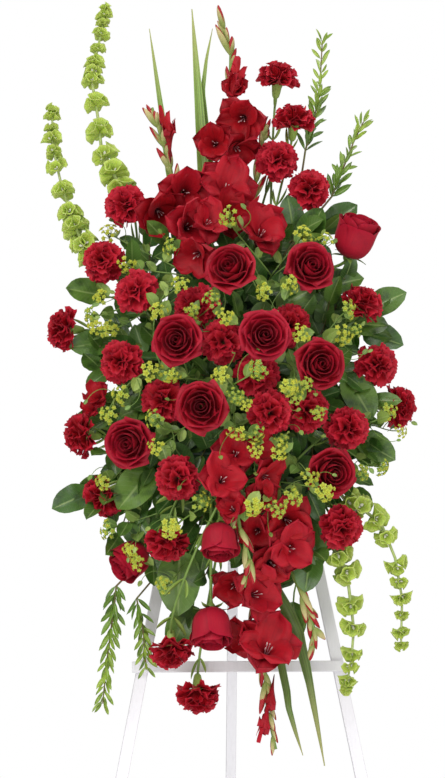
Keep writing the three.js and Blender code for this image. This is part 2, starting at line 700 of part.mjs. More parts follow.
// Pushes heads that stand in each other apart, more in depth than across.
function settle() {
  for (let round = 0; round < SETTLE_ROUNDS; round++) {
    for (let i = 0; i < heads.length; i++) {
      for (let j = i + 1; j < heads.length; j++) {
        const [one, two] = [heads[i], heads[j]];
        if (one.fixed && two.fixed) continue;
        const between = two.at.clone().sub(one.at);
        const short = one.reach + two.reach - between.length();
        if (short <= 0) continue;
        between.set(between.x * SETTLE_ACROSS, between.y || 1, between.z * SETTLE_ACROSS).normalize();
        const share = one.fixed || two.fixed ? 1 : 0.5;
        if (!one.fixed) one.at.addScaledVector(between, -short * share * 0.5);
        if (!two.fixed) two.at.addScaledVector(between, short * share * 0.5);
      }
    }
  }
}

// How clear a stem is of what is laid and of every bloom but its own
function clearance(points, owner, own) {
  let least = 99;
  for (let i = 0; i + 1 < points.length; i++) {
    const [a, b] = [points[i], points[i + 1]];
    for (const line of lines) {
      if (line.owner === owner) continue;
      least = Math.min(least, gapBetween(a, b, line.a, line.b) - line.radius - STEM_RADIUS);
    }
    for (const head of heads) {
      if (head === own) continue;
      const guard = head.guard * (head.name === owner ? OWN_GUARD : 1);
      least = Math.min(least, gapBetween(a, b, head.at, head.tip) - guard - STEM_RADIUS);
    }
    for (const share of [0.25, 0.5, 0.75, 1]) {
      const inside = a.clone().lerp(b, share).applyMatrix4(holderInverse);
      const deep = FOAM_CLEAR + Math.min(FOAM.front + inside.y,
        FOAM.halfWidth - Math.abs(inside.x), FOAM.halfHeight - Math.abs(inside.z));
      least = Math.min(least, -deep);
    }
  }
  return least;
}
const holderInverse = holderMatrix.clone().invert();

function stemPath(slot, start, head, foot) {
  const span = start.distanceTo(foot);
  const chord = foot.clone().sub(start).normalize();
  const side = squareTo(chord);
  const other = chord.clone().cross(side);
  let best = null;
  for (let level = 0; level < BULGE_LEVELS; level++) {
    for (let k = 0; k < 8; k++) {
      const angle = (k / 8) * 2 * Math.PI + level;
      const bulge = side.clone().multiplyScalar(Math.cos(angle) * level * BULGE_STEP)
        .addScaledVector(other, Math.sin(angle) * level * BULGE_STEP);
      const first = start.clone().addScaledVector(slot.out, span * 0.35).add(bulge);
      const second = foot.clone().addScaledVector(head.face, -Math.min(span * 0.35, 50)).add(bulge);
      const curve = new THREE.CubicBezierCurve3(start, first, second, foot);
      const points = STEM_SHARES.map((share) => curve.getPoint(share));
      const clear = clearance(points.slice(1), head.name, head);
      if (!best || clear > best.clear) best = { clear, points };
      if (clear > STEM_CLEAR) return best.points;
      if (level === 0) break;
    }
  }
  return best.points;
}

const SHAPES = {
  rose: (head) => roseShape(head.size),
  closed_rose: (head) => closedRoseShape(head.size),
  carnation: (head) => carnationShape(head.size),
  umbel: () => umbelShape(),
  leaf: (head) => leafShape(64 * head.size, 43 * head.size, SALAL_ROWS),
};

function bunchSolid(name) {
  const own = heads.filter((head) => head.name === name);
  const middle = own.reduce((sum, head) => sum.add(head.at), vector(0, 0, 0)).divideScalar(own.length);
  const slot = takeSlot(middle);
  const parts = [rootSolid(slot)];
  const starts = bundleStarts(slot, own.length);
  for (const [index, head] of own.entries()) {
    const foot = head.at.clone().addScaledVector(head.face, -KINDS[head.kind].back * head.size);
    const points = stemPath(slot, starts[index], head, foot);
    const leafy = head.kind === "leaf";
    const across = squareTo(head.face, leafy ? LEAF_FACE : undefined);
    addLines(points, STEM_RADIUS, name);
    const shape = SHAPES[head.kind](head);
    const base = leafy ? foot : head.at;
    parts.push(stemmedSkin(points, STEM_RADIUS, shape, base, head.face, across));
  }
  return join(parts);
}

// The object
const spray = new THREE.Group();
function add(name, geometry, material, matrix) {
  const mesh = new THREE.Mesh(geometry, material);
  mesh.name = name;
  if (matrix) matrix.decompose(mesh.position, mesh.quaternion, mesh.scale);
  spray.add(mesh);
}

// The easel's legs, from the floor to the head block
function addFrontLegs() {
  for (const [name, way] of [["leg_left", -1], ["leg_right", 1]]) {
    const centre = (height) =>
      vector(CENTRE_X + way * SPLAY * (APEX_HEIGHT - height), planeY(height), height);
    const ring = (height) => [[-1, -1], [1, -1], [1, 1], [-1, 1]].map(([u, v]) =>
      centre(height).add(vector(u * LEG_WIDTH / 2, v * LEG_HALF_DEPTH, 0)));
    add(name, skin([ring(0), ring(LEG_TOP)], centre(0), centre(LEG_TOP)), WHITE_PAINT);
    const down = centre(0);
    heads.push({ name, fixed: true, at: down, reach: 0 });
    addLines([down, centre(LEG_TOP)], LEG_WIDTH * 0.75, name);
  }
}

function addCrossbar() {
  const face = -LEG_FACE - SEAT_GAP;
  const { left, right, thick, tall } = CROSSBAR;
  const bar = box(-left, right, face - thick, face, -tall / 2, tall / 2);
  add("crossbar", bar, WHITE_PAINT, leaningMatrix(CROSSBAR.height));
}

// The hinge at the top: a block behind the front legs whose two cheeks hold the rear leg's pin
const plateBack = LEG_FACE + SEAT_GAP + HEAD_PLATE.thick;
const pinBack = plateBack + REAR_LEG.halfDepth + 0.4;
function addHinge() {
  const matrix = leaningMatrix(HINGE_HEIGHT);
  const { halfWidth, below, above } = HEAD_PLATE;
  const plate = box(-halfWidth, halfWidth, LEG_FACE + SEAT_GAP, plateBack, -below, above);
  const cheeks = [-1, 1].map((way) => {
    const [x0, x1] = [way * CHEEK.inner, way * (CHEEK.inner + CHEEK.thick)].sort((a, b) => a - b);
    return box(x0, x1, plateBack - 1, plateBack + CHEEK.reach, -CHEEK.half, CHEEK.half);
  });
  const hole = new THREE.CylinderGeometry(PIN.radius + SEAT_GAP, PIN.radius + SEAT_GAP, 60, 8)
    .rotateZ(Math.PI / 2).translate(0, pinBack, 0);
  add("head_block", cut(join([plate, ...cheeks]), [hole]), WHITE_PAINT, matrix);

  const outer = CHEEK.inner + CHEEK.thick + SEAT_GAP;
  const profile = [
    [0, -outer - PIN.headThick], [PIN.head, -outer - PIN.headThick],
    [PIN.head, -outer], [PIN.radius, -outer], [PIN.radius, outer], [PIN.nut, outer],
    [PIN.nut, outer + PIN.nutThick], [0, outer + PIN.nutThick],
  ].map(([r, z]) => new THREE.Vector2(r, z));
  const pin = new THREE.LatheGeometry(profile, 8).rotateZ(Math.PI / 2).translate(0, pinBack, 0);
  add("hinge_pin", pin, ZINC, matrix);
}

// The rear leg's side, drawn in the plane of Y and Z, with a round top and a level foot
function addRearLeg() {
  const pivot = vector(0, pinBack, 0).applyMatrix4(leaningMatrix(HINGE_HEIGHT));
  const along = new THREE.Vector2(REAR_LEG.footY - pivot.y, -pivot.z).normalize();
  const square = new THREE.Vector2(-along.y, along.x);
  const half = REAR_LEG.halfDepth;
  const footAt = (way) => {
    const start = new THREE.Vector2(pivot.y, pivot.z).addScaledVector(square, way * half);
    return start.addScaledVector(along, -start.y / along.y);
  };
  const angle = Math.atan2(square.y, square.x);
  const outline = new THREE.Shape();
  outline.absarc(pivot.y, pivot.z, half, angle, angle + Math.PI, false);
  outline.lineTo(footAt(-1).x, 0);
  outline.lineTo(footAt(1).x, 0);
  const hole = new THREE.Path().absarc(pivot.y, pivot.z, PIN.radius + SEAT_GAP, 0, 2 * Math.PI, true);
  outline.holes.push(hole);
  const options = { depth: REAR_LEG.width, bevelEnabled: false, curveSegments: 4 };
  const leg = new THREE.ExtrudeGeometry(outline, options);
  const toWorld = new THREE.Matrix4().makeBasis(vector(0, 1, 0), vector(0, 0, 1), vector(1, 0, 0));
  leg.applyMatrix4(toWorld.setPosition(CENTRE_X - REAR_LEG.width / 2, 0, 0));
  add("rear_leg", leg, WHITE_PAINT);
}

// The holder: a tray tied to the legs, the foam and the cage over it
const legAcross = (up) => SPLAY * (APEX_HEIGHT - HOLDER_HEIGHT - up * Math.cos(leanAngle));
function addTray() {
  const { halfWidth, halfHeight, wall, floor, depth } = TRAY;
  const back = -LEG_FACE - SEAT_GAP;
  const outer = box(-halfWidth, halfWidth, back - depth, back, -halfHeight, halfHeight);
  const tools = [box(-halfWidth + wall, halfWidth - wall, back - depth - 1, back - floor,
    -halfHeight + wall, halfHeight - wall)];
  for (const up of TIE.places) {
    for (const way of [-1, 1]) {
      for (const edge of [-1, 1]) {
        const x = way * legAcross(up) + edge * (TIE.innerHalf + TIE.thick / 2);
        const half = TIE.thick / 2 + TIE.play;
        tools.push(box(x - half, x + half, back - depth, back + 1, up - TIE.tall / 2 - TIE.play,
          up + TIE.tall / 2 + TIE.play));
      }
    }
  }
  add("holder_tray", cut(outer, tools), HOLDER_GREEN, holderMatrix);
}

function addTies() {
  const names = ["tie_upper_left", "tie_upper_right", "tie_lower_left", "tie_lower_right"];
  const back = LEG_FACE + SEAT_GAP + 0.2;
  const front = -LEG_FACE - SEAT_GAP - TRAY.floor - SEAT_GAP;
  let index = 0;
  for (const up of TIE.places) {
    for (const way of [-1, 1]) {
      const x = way * legAcross(up);
      const half = TIE.innerHalf;
      const t = TIE.thick;
      const [low, high] = [up - TIE.tall / 2, up + TIE.tall / 2];
      const outer = box(x - half - t, x + half + t, front - t, back + t, low, high);
      const inner = box(x - half, x + half, front, back, up - TIE.tall, up + TIE.tall);
      add(names[index], cut(outer, [inner]), HOLDER_GREEN, holderMatrix);
      index += 1;
    }
  }
}

function addFoam() {
  const { halfWidth, halfHeight, back, front } = FOAM;
  const block = box(-halfWidth, halfWidth, -front, -back, -halfHeight, halfHeight);
  const holes = usedSlots.map((slot) => rootShape(slot, ROOT.side + 2 * ROOT.play, ROOT.inside + 1, 2));
  add("foam_block", cut(block, holes), FOAM_GREEN, holderMatrix);
}

function addCage() {
  const face = -FOAM.front - SEAT_GAP;
  const top = face - CAGE.thick;
  const [w, h] = [FOAM.halfWidth + SEAT_GAP, FOAM.halfHeight + SEAT_GAP];
  const [outW, outH] = [w + CAGE.thick, h + CAGE.thick];
  const low = -LEG_FACE - SEAT_GAP - TRAY.depth - SEAT_GAP;
  const bars = [
    box(-outW, outW, top, face, h - CAGE.bar, outH),
    box(-outW, outW, top, face, -outH, CAGE.bar - h),
    box(w - CAGE.bar, outW, top, face, -outH, outH),
    box(-outW, CAGE.bar - w, top, face, -outH, outH),
  ];
  for (const x of CAGE.columns) {
    bars.push(box(x - CAGE.bar / 2, x + CAGE.bar / 2, top, face, -outH, outH));
  }
  for (const up of CAGE.rows) {
    bars.push(box(-outW, outW, top, face, up - CAGE.bar / 2, up + CAGE.bar / 2));
    bars.push(box(-outW, -w, top, low, up - CAGE.strap / 2, up + CAGE.strap / 2));
    bars.push(box(w, outW, top, low, up - CAGE.strap / 2, up + CAGE.strap / 2));
  }
  add("holder_cage", join(bars), HOLDER_GREEN, holderMatrix);
}

addFrontLegs();
addCrossbar();
addHinge();
addRearLeg();
addTray();
addTies();
for (const [name, spike] of Object.entries(BELLS)) layBells(name, spike);
for (const [name, spike] of Object.entries(GLADIOLI)) layGladiolus(name, spike);
for (const [name, spike] of Object.entries(MYRTLE)) layMyrtle(name, spike);
for (const [name, blades] of Object.entries(LEAF_BLADES)) layBlades(name, blades);
gather(ROSES, "rose");
gather(CARNATIONS, "carnation");
gather(UMBELS, "umbel");
gather(SALAL, "leaf");
settle();
for (const head of heads) {
  head.face = head.way ? vector(...head.way).normalize() : faceOf(head.at);
  head.tip = head.at.clone().addScaledVector(head.face, 1);
  head.guard = head.fixed ? head.reach : KINDS[head.kind].guard * head.size;
}
for (const [name, { parts, material }] of Object.entries(spikes)) add(name, join(parts), material);
const BUNCHES = [
  [ROSES, ROSE_RED], [CARNATIONS, CARNATION_RED], [UMBELS, UMBEL_GREEN], [SALAL, SALAL_GREEN],
];
for (const [bunches, material] of BUNCHES) {
  for (const name of Object.keys(bunches)) add(name, bunchSolid(name), material);
}
addFoam();
addCage();

// The origin is on the floor below the middle of the whole part.
spray.updateMatrixWorld(true);
const bounds = new THREE.Box3().setFromObject(spray, true);
spray.position.set(-(bounds.min.x + bounds.max.x) / 2, -(bounds.min.y + bounds.max.y) / 2, 0);

export default spray;
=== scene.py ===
"""A standing funeral spray on a white wooden easel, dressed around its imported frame.

Red roses, carnations and gladioli stand with bells of Ireland, bupleurum, myrtle, salal and
gladiolus blades in floral foam. Places are in millimetres, in the easel's own coordinates, and
are worked out by the same rule as the part's; the finished meshes are in metres.
"""

import functools
import json
from math import atan, atan2, copysign, cos, pi, radians, sin, sqrt

import bmesh
import bpy
import numpy as np
from mathutils import Matrix, Vector
from numpy.linalg import norm

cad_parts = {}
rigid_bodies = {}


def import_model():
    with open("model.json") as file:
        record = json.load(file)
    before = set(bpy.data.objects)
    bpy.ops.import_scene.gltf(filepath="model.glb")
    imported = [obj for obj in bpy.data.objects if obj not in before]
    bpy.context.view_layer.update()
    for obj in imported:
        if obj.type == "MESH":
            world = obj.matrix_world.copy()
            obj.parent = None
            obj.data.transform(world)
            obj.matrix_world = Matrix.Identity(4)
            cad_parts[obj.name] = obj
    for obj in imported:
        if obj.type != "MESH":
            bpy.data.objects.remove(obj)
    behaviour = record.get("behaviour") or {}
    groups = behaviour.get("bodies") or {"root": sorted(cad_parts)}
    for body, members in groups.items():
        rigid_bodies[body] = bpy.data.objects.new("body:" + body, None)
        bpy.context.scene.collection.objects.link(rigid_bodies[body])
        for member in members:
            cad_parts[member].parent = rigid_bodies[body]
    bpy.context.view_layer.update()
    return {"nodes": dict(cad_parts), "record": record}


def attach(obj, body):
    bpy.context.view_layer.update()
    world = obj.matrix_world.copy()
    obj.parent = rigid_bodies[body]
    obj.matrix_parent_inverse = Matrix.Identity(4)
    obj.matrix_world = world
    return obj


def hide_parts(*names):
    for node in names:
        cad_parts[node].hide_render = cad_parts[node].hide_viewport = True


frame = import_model()

bl_info = {
    "name": "Standing funeral spray",
    "version": (1, 0, 0),
    "blender": (4, 5, 0),
    "location": "View3D > Sidebar > Spray",
    "description": "Dresses the standing spray's frame with petals, leaves, wood and a stage",
    "category": "Add Mesh",
}

STAND = "stand"
MM = 0.001
TURN = 2 * pi

# The easel and the holder, in millimetres
CENTRE_X = -4
APEX_HEIGHT = 1427
LEAN = 0.1763
SPLAY = 0.197
LEG_WIDTH = 18
LEG_TOP = 1378
REAR_FOOT_Y = 330
HOLDER_HEIGHT = 1095
FOAM_HALF_WIDTH = 94
FOAM_HALF_HEIGHT = 165
FOAM_FRONT = 100.4
ROOT_INSIDE = 33
ROOT_OUTSIDE = 10

# The foam's holes that bunches can take
SLOT_COLUMNS = (-75, -45, -15, 15, 45, 75)
SLOT_ROWS = 12
SLOT_PITCH = 27.5
SIDE_SLOT_TOP = 130
SIDE_SLOT_OUT = 52
TOP_COLUMNS = (-60, -30, 0, 30, 60)
TOP_SLOT_OUT = 82
TURN_COST = 90

# Room that each kind takes, the radius that stems keep clear of, and where its stem ends
KINDS = {
    "rose": {"reach": 37, "guard": 41, "back": 22},
    "closed_rose": {"reach": 33, "guard": 35, "back": 33},
    "carnation": {"reach": 34, "guard": 37, "back": 32},
    "umbel": {"reach": 16, "guard": 17, "back": 4},
    "leaf": {"reach": 17, "guard": 26, "back": 30},
}
# Sizes of the pieces of a spike, and how its last whorl stands from the tip
WHORL_TOP = 0.6
BELL_REACH = 21
BELL_STAND = 8
GLADIOLUS_JOINT = 5
MYRTLE_REACH = 12
SPIKE_RADIUS = 3
TWIG_RADIUS = 2
BUD_RADIUS = 4.5
BUD_PAST = 6
BUD_SHORTEST = 20
BUD_LEAN = 0.6
FLORET_STAND = 1.1
FLORET_TUBE = 0.4
FLORET_FACE = (0, -1, 0.12)
FLORET_WAY = 0.5
FLORET_REACH = 0.8

# How stems leave the foam, bend and end, and the room between them
FOOT_SHARE = 0.35
FOOT_LONGEST = 50
STEM_RADIUS = 2
STEM_CLEAR = 0.9
STEM_SHARES = (0, 0.15, 0.6, 1)
STEM_SPREAD = 2.8
STEM_SINK = 3
LEAD = 17
CLOSED_TURN = 0.5
BULGE_STEP = 10
BULGE_LEVELS = 10
BULGE_WAYS = 8
SETTLE_ROUNDS = 80
SETTLE_ACROSS = 0.7
SETTLE_NEAR = 40
OWN_GUARD = 0.6
FOAM_CLEAR = 6
FOAM_SHARES = (0.25, 0.5, 0.75, 1)
TURN_ACROSS = 420
TURN_UP = 800

# Where each flower is: across, height, distance in front of the easel's plane, then the way it
# faces where that isn't the viewer, and its size where that isn't one.
UP = (0.1, -0.35, 1)
UP_RIGHT = (0.7, -0.5, 0.7)
UPWARD = (0.3, -0.35, 0.9)
DOWN = (0, -0.45, -1)
LEFT = (-1, -0.4, 0.1)
LEFT_DOWN = (-0.9, -0.5, -0.6)
RIGHT = (1, -0.5, 0)
ROSES = {
    "rose_top": [(-24, 1276, 215, (-0.35, -1, 0.4))],
    "rose_upper_right": [(96, 1288, 165), (168, 1328, 110, UPWARD, 1.1)],
    "rose_left": [(-90, 1170, 215)],
    "rose_centre": [(14, 1174, 225)],
    "rose_right": [(104, 1134, 205)],
    "rose_low_centre": [(-66, 1078, 235)],
    "rose_low_left": [(-172, 1022, 150), (-168, 850, 95, LEFT_DOWN, 0.92)],
    "rose_low_right": [(124, 978, 160)],
    "rose_hanging": [(-40, 884, 190, DOWN, 0.88), (-50, 754, 120, DOWN)],
}
CARNATIONS = {
    "carnation_top": [(60, 1590, 40, UP), (92, 1508, 60, UP)],
    "carnation_upper_middle": [(60, 1446, 92), (98, 1410, 95)],
    "carnation_upper_left": [(-170, 1374, 90), (-214, 1294, 95)],
    "carnation_left": [(-164, 1244, 150), (-276, 1192, 70, LEFT)],
    "carnation_lower_left": [
        (-186, 1140, 150), (-248, 1034, 90, LEFT), (-220, 936, 80, LEFT_DOWN),
    ],
    "carnation_low_centre": [(-102, 968, 190), (-114, 872, 150, DOWN)],
    "carnation_mid_left": [(-38, 1170, 205), (-122, 1083, 148), (-78, 1228, 170)],
    "carnation_middle": [(66, 1194, 165), (16, 1116, 185), (40, 1066, 205), (80, 1070, 185)],
    "carnation_right": [(202, 1134, 100), (238, 1072, 60, RIGHT), (182, 1226, 110, UP_RIGHT)],
    "carnation_low_right": [(152, 1042, 150), (142, 894, 110)],
    "carnation_hanging": [(-128, 712, 70, DOWN), (-70, 642, 50, DOWN)],
}
UMBELS = {
    "bupleurum_upper_left": [
        (-198, 1344, 80), (-176, 1284, 130), (-216, 1238, 110), (-230, 1210, 100),
        (-202, 1190, 110), (-110, 1308, 170),
    ],
    "bupleurum_left": [
        (-94, 1248, 190), (-130, 1214, 185), (-136, 1126, 190), (-186, 1090, 150),
        (-202, 1061, 146), (-136, 1056, 190),
    ],
    "bupleurum_top": [
        (-26, 1354, 190), (118, 1324, 150), (90, 1324, 160), (24, 1242, 215), (66, 1250, 200),
    ],
    "bupleurum_centre": [
        (-52, 1230, 220), (-110, 1118, 210), (-42, 1118, 240), (14, 1128, 235),
        (-16, 1036, 240), (12, 1038, 235), (58, 1100, 236),
    ],
    "bupleurum_right": [
        (78, 1182, 220), (158, 1220, 150), (144, 1180, 170), (218, 1066, 90), (206, 984, 100),
    ],
    "bupleurum_low": [
        (-206, 892, 100), (-110, 898, 190), (-68, 940, 200), (46, 1012, 225),
        (8, 932, 235), (66, 946, 200), (112, 952, 200),
    ],
}
# Salal leaves take, after their place, the angle in degrees at which the tip points, and a size.
SALAL = {
    "salal_left": [
        (-234, 1246, 60, 170), (-226, 1168, 70, 185), (-224, 1052, 60, 190), (-250, 936, 54, 200),
    ],
    "salal_low_left": [
        (-160, 956, 100, 230, 1.3), (-98, 820, 90, 268, 1.5), (-92, 752, 60, 240, 1.1),
        (-152, 1074, 110, 200),
    ],
    "salal_top_right": [
        (74, 1362, 90, 100, 0.9), (104, 1344, 90, 60), (148, 1360, 60, 40), (72, 1234, 142, 30),
    ],
    "salal_right": [
        (148, 1260, 90, 18, 0.95), (216, 1232, 60, 30), (186, 1202, 80, 0), (208, 1180, 60, -15),
    ],
    "salal_low_right": [
        (172, 1092, 90, -60, 1.2), (196, 1012, 80, -30), (102, 878, 110, -80),
        (92, 836, 104, -100), (70, 756, 60, -95),
    ],
}
# Spikes follow a path out of the foam. Florets and buds stand off it: place, then radius.
GLADIOLI = {
    "gladiolus_tall": {
        "path": [
            (-30, 1312, 80), (-24, 1400, 60), (-18, 1500, 55), (-14, 1618, 45), (-24, 1660, 40),
        ],
        "florets": [
            (-22, 1408, 105, 38), (-42, 1474, 90, 27), (-2, 1508, 95, 34), (-4, 1462, 88, 27),
            (-10, 1561, 70, 18), (-20, 1362, 122, 31),
        ],
        "buds": [(-26, 1590, 60), (-10, 1612, 60), (-30, 1640, 50)],
    },
    "gladiolus_left": {
        "path": [(-94, 1330, 96), (-100, 1400, 70), (-118, 1470, 60), (-136, 1532, 60)],
        "florets": [(-122, 1361, 110, 34), (-88, 1396, 98, 35), (-79, 1343, 142, 34),
                    (-76, 1294, 165, 31), (-52, 1350, 150, 27)],
        "buds": [(-148, 1490, 66), (-130, 1432, 76), (-104, 1478, 70), (-94, 1450, 70),
                 (-128, 1514, 70)],
    },
    "gladiolus_right": {
        "path": [(24, 1310, 90), (16, 1380, 70), (30, 1450, 60), (38, 1514, 56)],
        "florets": [(27, 1336, 150, 34)],
        "buds": [(22, 1410, 84), (6, 1390, 84), (40, 1476, 50), (26, 1490, 50)],
    },
    "gladiolus_low": {
        "path": [(30, 880, 90), (20, 800, 75), (24, 730, 65), (30, 670, 60), (32, 625, 60),
                 (44, 572, 60)],
        "florets": [
            (60, 906, 160, 33), (66, 868, 150, 32), (38, 843, 140, 29), (20, 803, 135, 33),
            (32, 730, 120, 39), (-8, 736, 95, 25), (-21, 810, 115, 28), (14, 891, 150, 25),
        ],
        "buds": [(6, 688, 84), (46, 664, 76), (20, 628, 72), (46, 624, 72)],
    },
    "gladiolus_low_right": {
        "path": [(60, 850, 90), (76, 814, 100), (86, 784, 100), (100, 750, 90), (98, 726, 86)],
        "florets": [],
        "buds": [(92, 800, 100), (78, 770, 100), (108, 760, 90), (90, 736, 90)],
    },
    "gladiolus_low_centre": {
        "path": [
            (-18, 1010, 160), (-22, 960, 180), (-12, 900, 186), (2, 856, 184), (-6, 816, 180),
        ],
        "florets": [(-17, 1009, 200, 28), (20, 1015, 205, 22), (-32, 971, 205, 30),
                    (30, 971, 195, 26), (21, 945, 190, 22), (-25, 931, 205, 20)],
        "buds": [(4, 900, 196), (-10, 860, 194), (10, 836, 190)],
    },
}
BELLS = {
    "bells_tall": ([
        (-180, 1402, 55), (-198, 1434, 50), (-214, 1470, 45), (-220, 1522, 40), (-228, 1570, 35),
        (-226, 1602, 35), (-214, 1658, 30), (-210, 1690, 30),
    ], 9),
    "bells_left": ([
        (-228, 1294, 50), (-246, 1330, 50), (-260, 1364, 45), (-276, 1416, 40), (-290, 1478, 35),
        (-290, 1530, 30),
    ], 8),
    "bells_low": ([
        (136, 858, 90), (150, 830, 85), (156, 780, 80), (160, 746, 75), (156, 702, 70),
        (148, 662, 70),
    ], 6),
    "bells_low_right": ([
        (148, 936, 100), (172, 924, 95), (202, 900, 90), (222, 850, 85), (232, 790, 78),
        (230, 726, 70),
    ], 7),
}
MYRTLE = {
    "myrtle_tall": ([(100, 1468, 45), (114, 1516, 40), (124, 1560, 35), (130, 1644, 30)], 8),
    "myrtle_right": ([(138, 1394, 65), (150, 1422, 60), (174, 1480, 50), (190, 1512, 50)], 6),
    "myrtle_low_left": ([(-190, 808, 55), (-196, 758, 50), (-204, 698, 45), (-210, 636, 40)], 9),
    "myrtle_low": ([(-160, 790, 60), (-150, 740, 60), (-146, 690, 60)], 5),
}
# Gladiolus leaf blades: a path each, and the widest half width.
LEAF_BLADES = {
    "leaf_blades_top": [
        ([(-96, 1360, 34), (-120, 1520, 32), (-140, 1660, 40)], 6),
        ([(-56, 1400, 48), (-64, 1544, 50), (-74, 1690, 50)], 9),
        ([(-46, 1440, 40), (-58, 1560, 44), (-42, 1660, 46)], 5),
    ],
    "leaf_blades_low": [
        ([(64, 772, 80), (82, 720, 66), (94, 668, 70), (114, 550, 74)], 9),
        ([(52, 700, 60), (62, 634, 85), (82, 566, 80)], 6),
    ],
}


def unit(v):
    v = np.asarray(v, float)
    return v / norm(v)


def plane_y(height):
    return -LEAN * (APEX_HEIGHT - height)


def place(spot):
    x, height, out = spot[:3]
    return np.array([x, plane_y(height) - out, height], float)


def square_to(direction, reference=None):
    """A direction square to another, turned as a reference asks."""
    if reference is None:
        reference = (0, 1, 0) if abs(direction[2]) > 0.9 else (0, 0, 1)
    return unit(np.cross(reference, direction))


HOLDER_TURN = np.array(Matrix.Rotation(-atan(LEAN), 3, "X"))
HOLDER_AT = np.array([CENTRE_X, plane_y(HOLDER_HEIGHT), HOLDER_HEIGHT])


def foam_slots():
    """The places where a bunch can enter the foam, and the way out of each."""
    slots = []

    def add(x, out, up, normal):
        slots.append((HOLDER_TURN @ (x, -out, up) + HOLDER_AT, HOLDER_TURN @ normal))

    for row in range(SLOT_ROWS):
        up = (row - (SLOT_ROWS - 1) / 2) * SLOT_PITCH
        for x in SLOT_COLUMNS:
            add(x, FOAM_FRONT, up, (0, -1, 0))
        if abs(up) < SIDE_SLOT_TOP:
            add(-FOAM_HALF_WIDTH, SIDE_SLOT_OUT, up, (-1, 0, 0))
            add(FOAM_HALF_WIDTH, SIDE_SLOT_OUT, up, (1, 0, 0))
    for x in SLOT_COLUMNS:
        add(x, SIDE_SLOT_OUT, FOAM_HALF_HEIGHT, (0, 0, 1))
        add(x, SIDE_SLOT_OUT, -FOAM_HALF_HEIGHT, (0, 0, -1))
    for x in TOP_COLUMNS:
        add(x, TOP_SLOT_OUT, FOAM_HALF_HEIGHT, (0, 0, 1))
    return slots


def spline(points, per_span):
    """A smooth line through points, with so many steps for each span."""
    points = np.asarray(points, float)
    first = 2 * points[0] - points[1]
    last = 2 * points[-1] - points[-2]
    around = np.vstack([first, points, last])
    line = [points[0]]
    for i in range(len(points) - 1):
        p0, p1, p2, p3 = around[i : i + 4]
        start, end = 0.5 * (p2 - p0), 0.5 * (p3 - p1)
        for step in range(1, per_span + 1):
            t = step / per_span
            cube = 2 * p1 - 2 * p2 + start + end
            square = -3 * p1 + 3 * p2 - 2 * start - end
            line.append(p1 + start * t + square * t * t + cube * t**3)
    return np.array(line)


def cubic(a, b, c, d, t):
    return a * (1 - t) ** 3 + 3 * b * t * (1 - t) ** 2 + 3 * c * t * t * (1 - t) + d * t**3


def bezier(a, b, c, d, steps):
    """A curve by its ends and handles, at so many even steps or at the shares given."""
    shares = np.linspace(0, 1, steps) if np.isscalar(steps) else np.asarray(steps, float)
    return cubic(a, b, c, d, shares[:, None])


def frame_on(line, share):
    """The point at a share of a line's steps, and directions along and square to the line."""
    step = min(share * (len(line) - 1), len(line) - 1.001)
    low = int(step)
    along = unit(line[low + 1] - line[low])
    side = square_to(along)
    centre = line[low] + (line[low + 1] - line[low]) * (step - low)
    return centre, along, side, np.cross(along, side)


def way_round(side, other, angle):
    """The direction at an angle between two that are square to each other."""
    return side * cos(angle) + other * sin(angle)


def gaps(a, b, c, d):
    """How far the stretch from a to b is from each stretch from c to d."""
    u, v, w = b - a, d - c, a - c
    uu, vv, uv = u @ u, (v * v).sum(1), v @ u
    vw, uw = (v * w).sum(1), w @ u
    det = uu * vv - uv * uv
    s = np.where(det > 1e-9, (uv * vw - vv * uw) / np.where(det > 1e-9, det, 1), 0)
    t = np.clip((uv * np.clip(s, 0, 1) + vw) / vv, 0, 1)
    s = np.clip((uv * t - uw) / uu, 0, 1)
    return norm(w + s[:, None] * u - t[:, None] * v, axis=1)


class Head:
    """A bloom, umbel, leaf or piece of a spike, and the room that it takes."""

    def __init__(self, name, at, reach, kind=None, size=1, way=None):
        self.name, self.at, self.reach = name, np.array(at, float), reach
        self.kind, self.size, self.way = kind, size, way
        self.fixed = kind is None

    def turn(self):
        """Sets the way that it faces and how far stems keep from it."""
        across = (self.at[0] - CENTRE_X) / TURN_ACROSS
        up = (self.at[2] - HOLDER_HEIGHT) / TURN_UP
        self.face = unit(self.way if self.way is not None else (across, -1, up))
        self.guard = self.reach if self.fixed else KINDS[self.kind]["guard"] * self.size


def bundle_starts(mouth, out, count):
    side = square_to(out)
    other = np.cross(out, side)
    spread = STEM_SPREAD if count > 1 else 0
    angles = [index / count * TURN for index in range(count)]
    return [
        mouth + out * (ROOT_OUTSIDE - 2) + side * spread * cos(a)
        + other * spread * sin(a) for a in angles
    ]


def push_apart(one, two):
    if one.fixed and two.fixed:
        return
    between = two.at - one.at
    short = one.reach + two.reach - norm(between)
    if short <= 0:
        return
    way = unit((between[0] * SETTLE_ACROSS, between[1] or 1, between[2] * SETTLE_ACROSS))
    share = 1 if one.fixed or two.fixed else 0.5
    if not one.fixed:
        one.at = one.at - way * short * share * 0.5
    if not two.fixed:
        two.at = two.at + way * short * share * 0.5


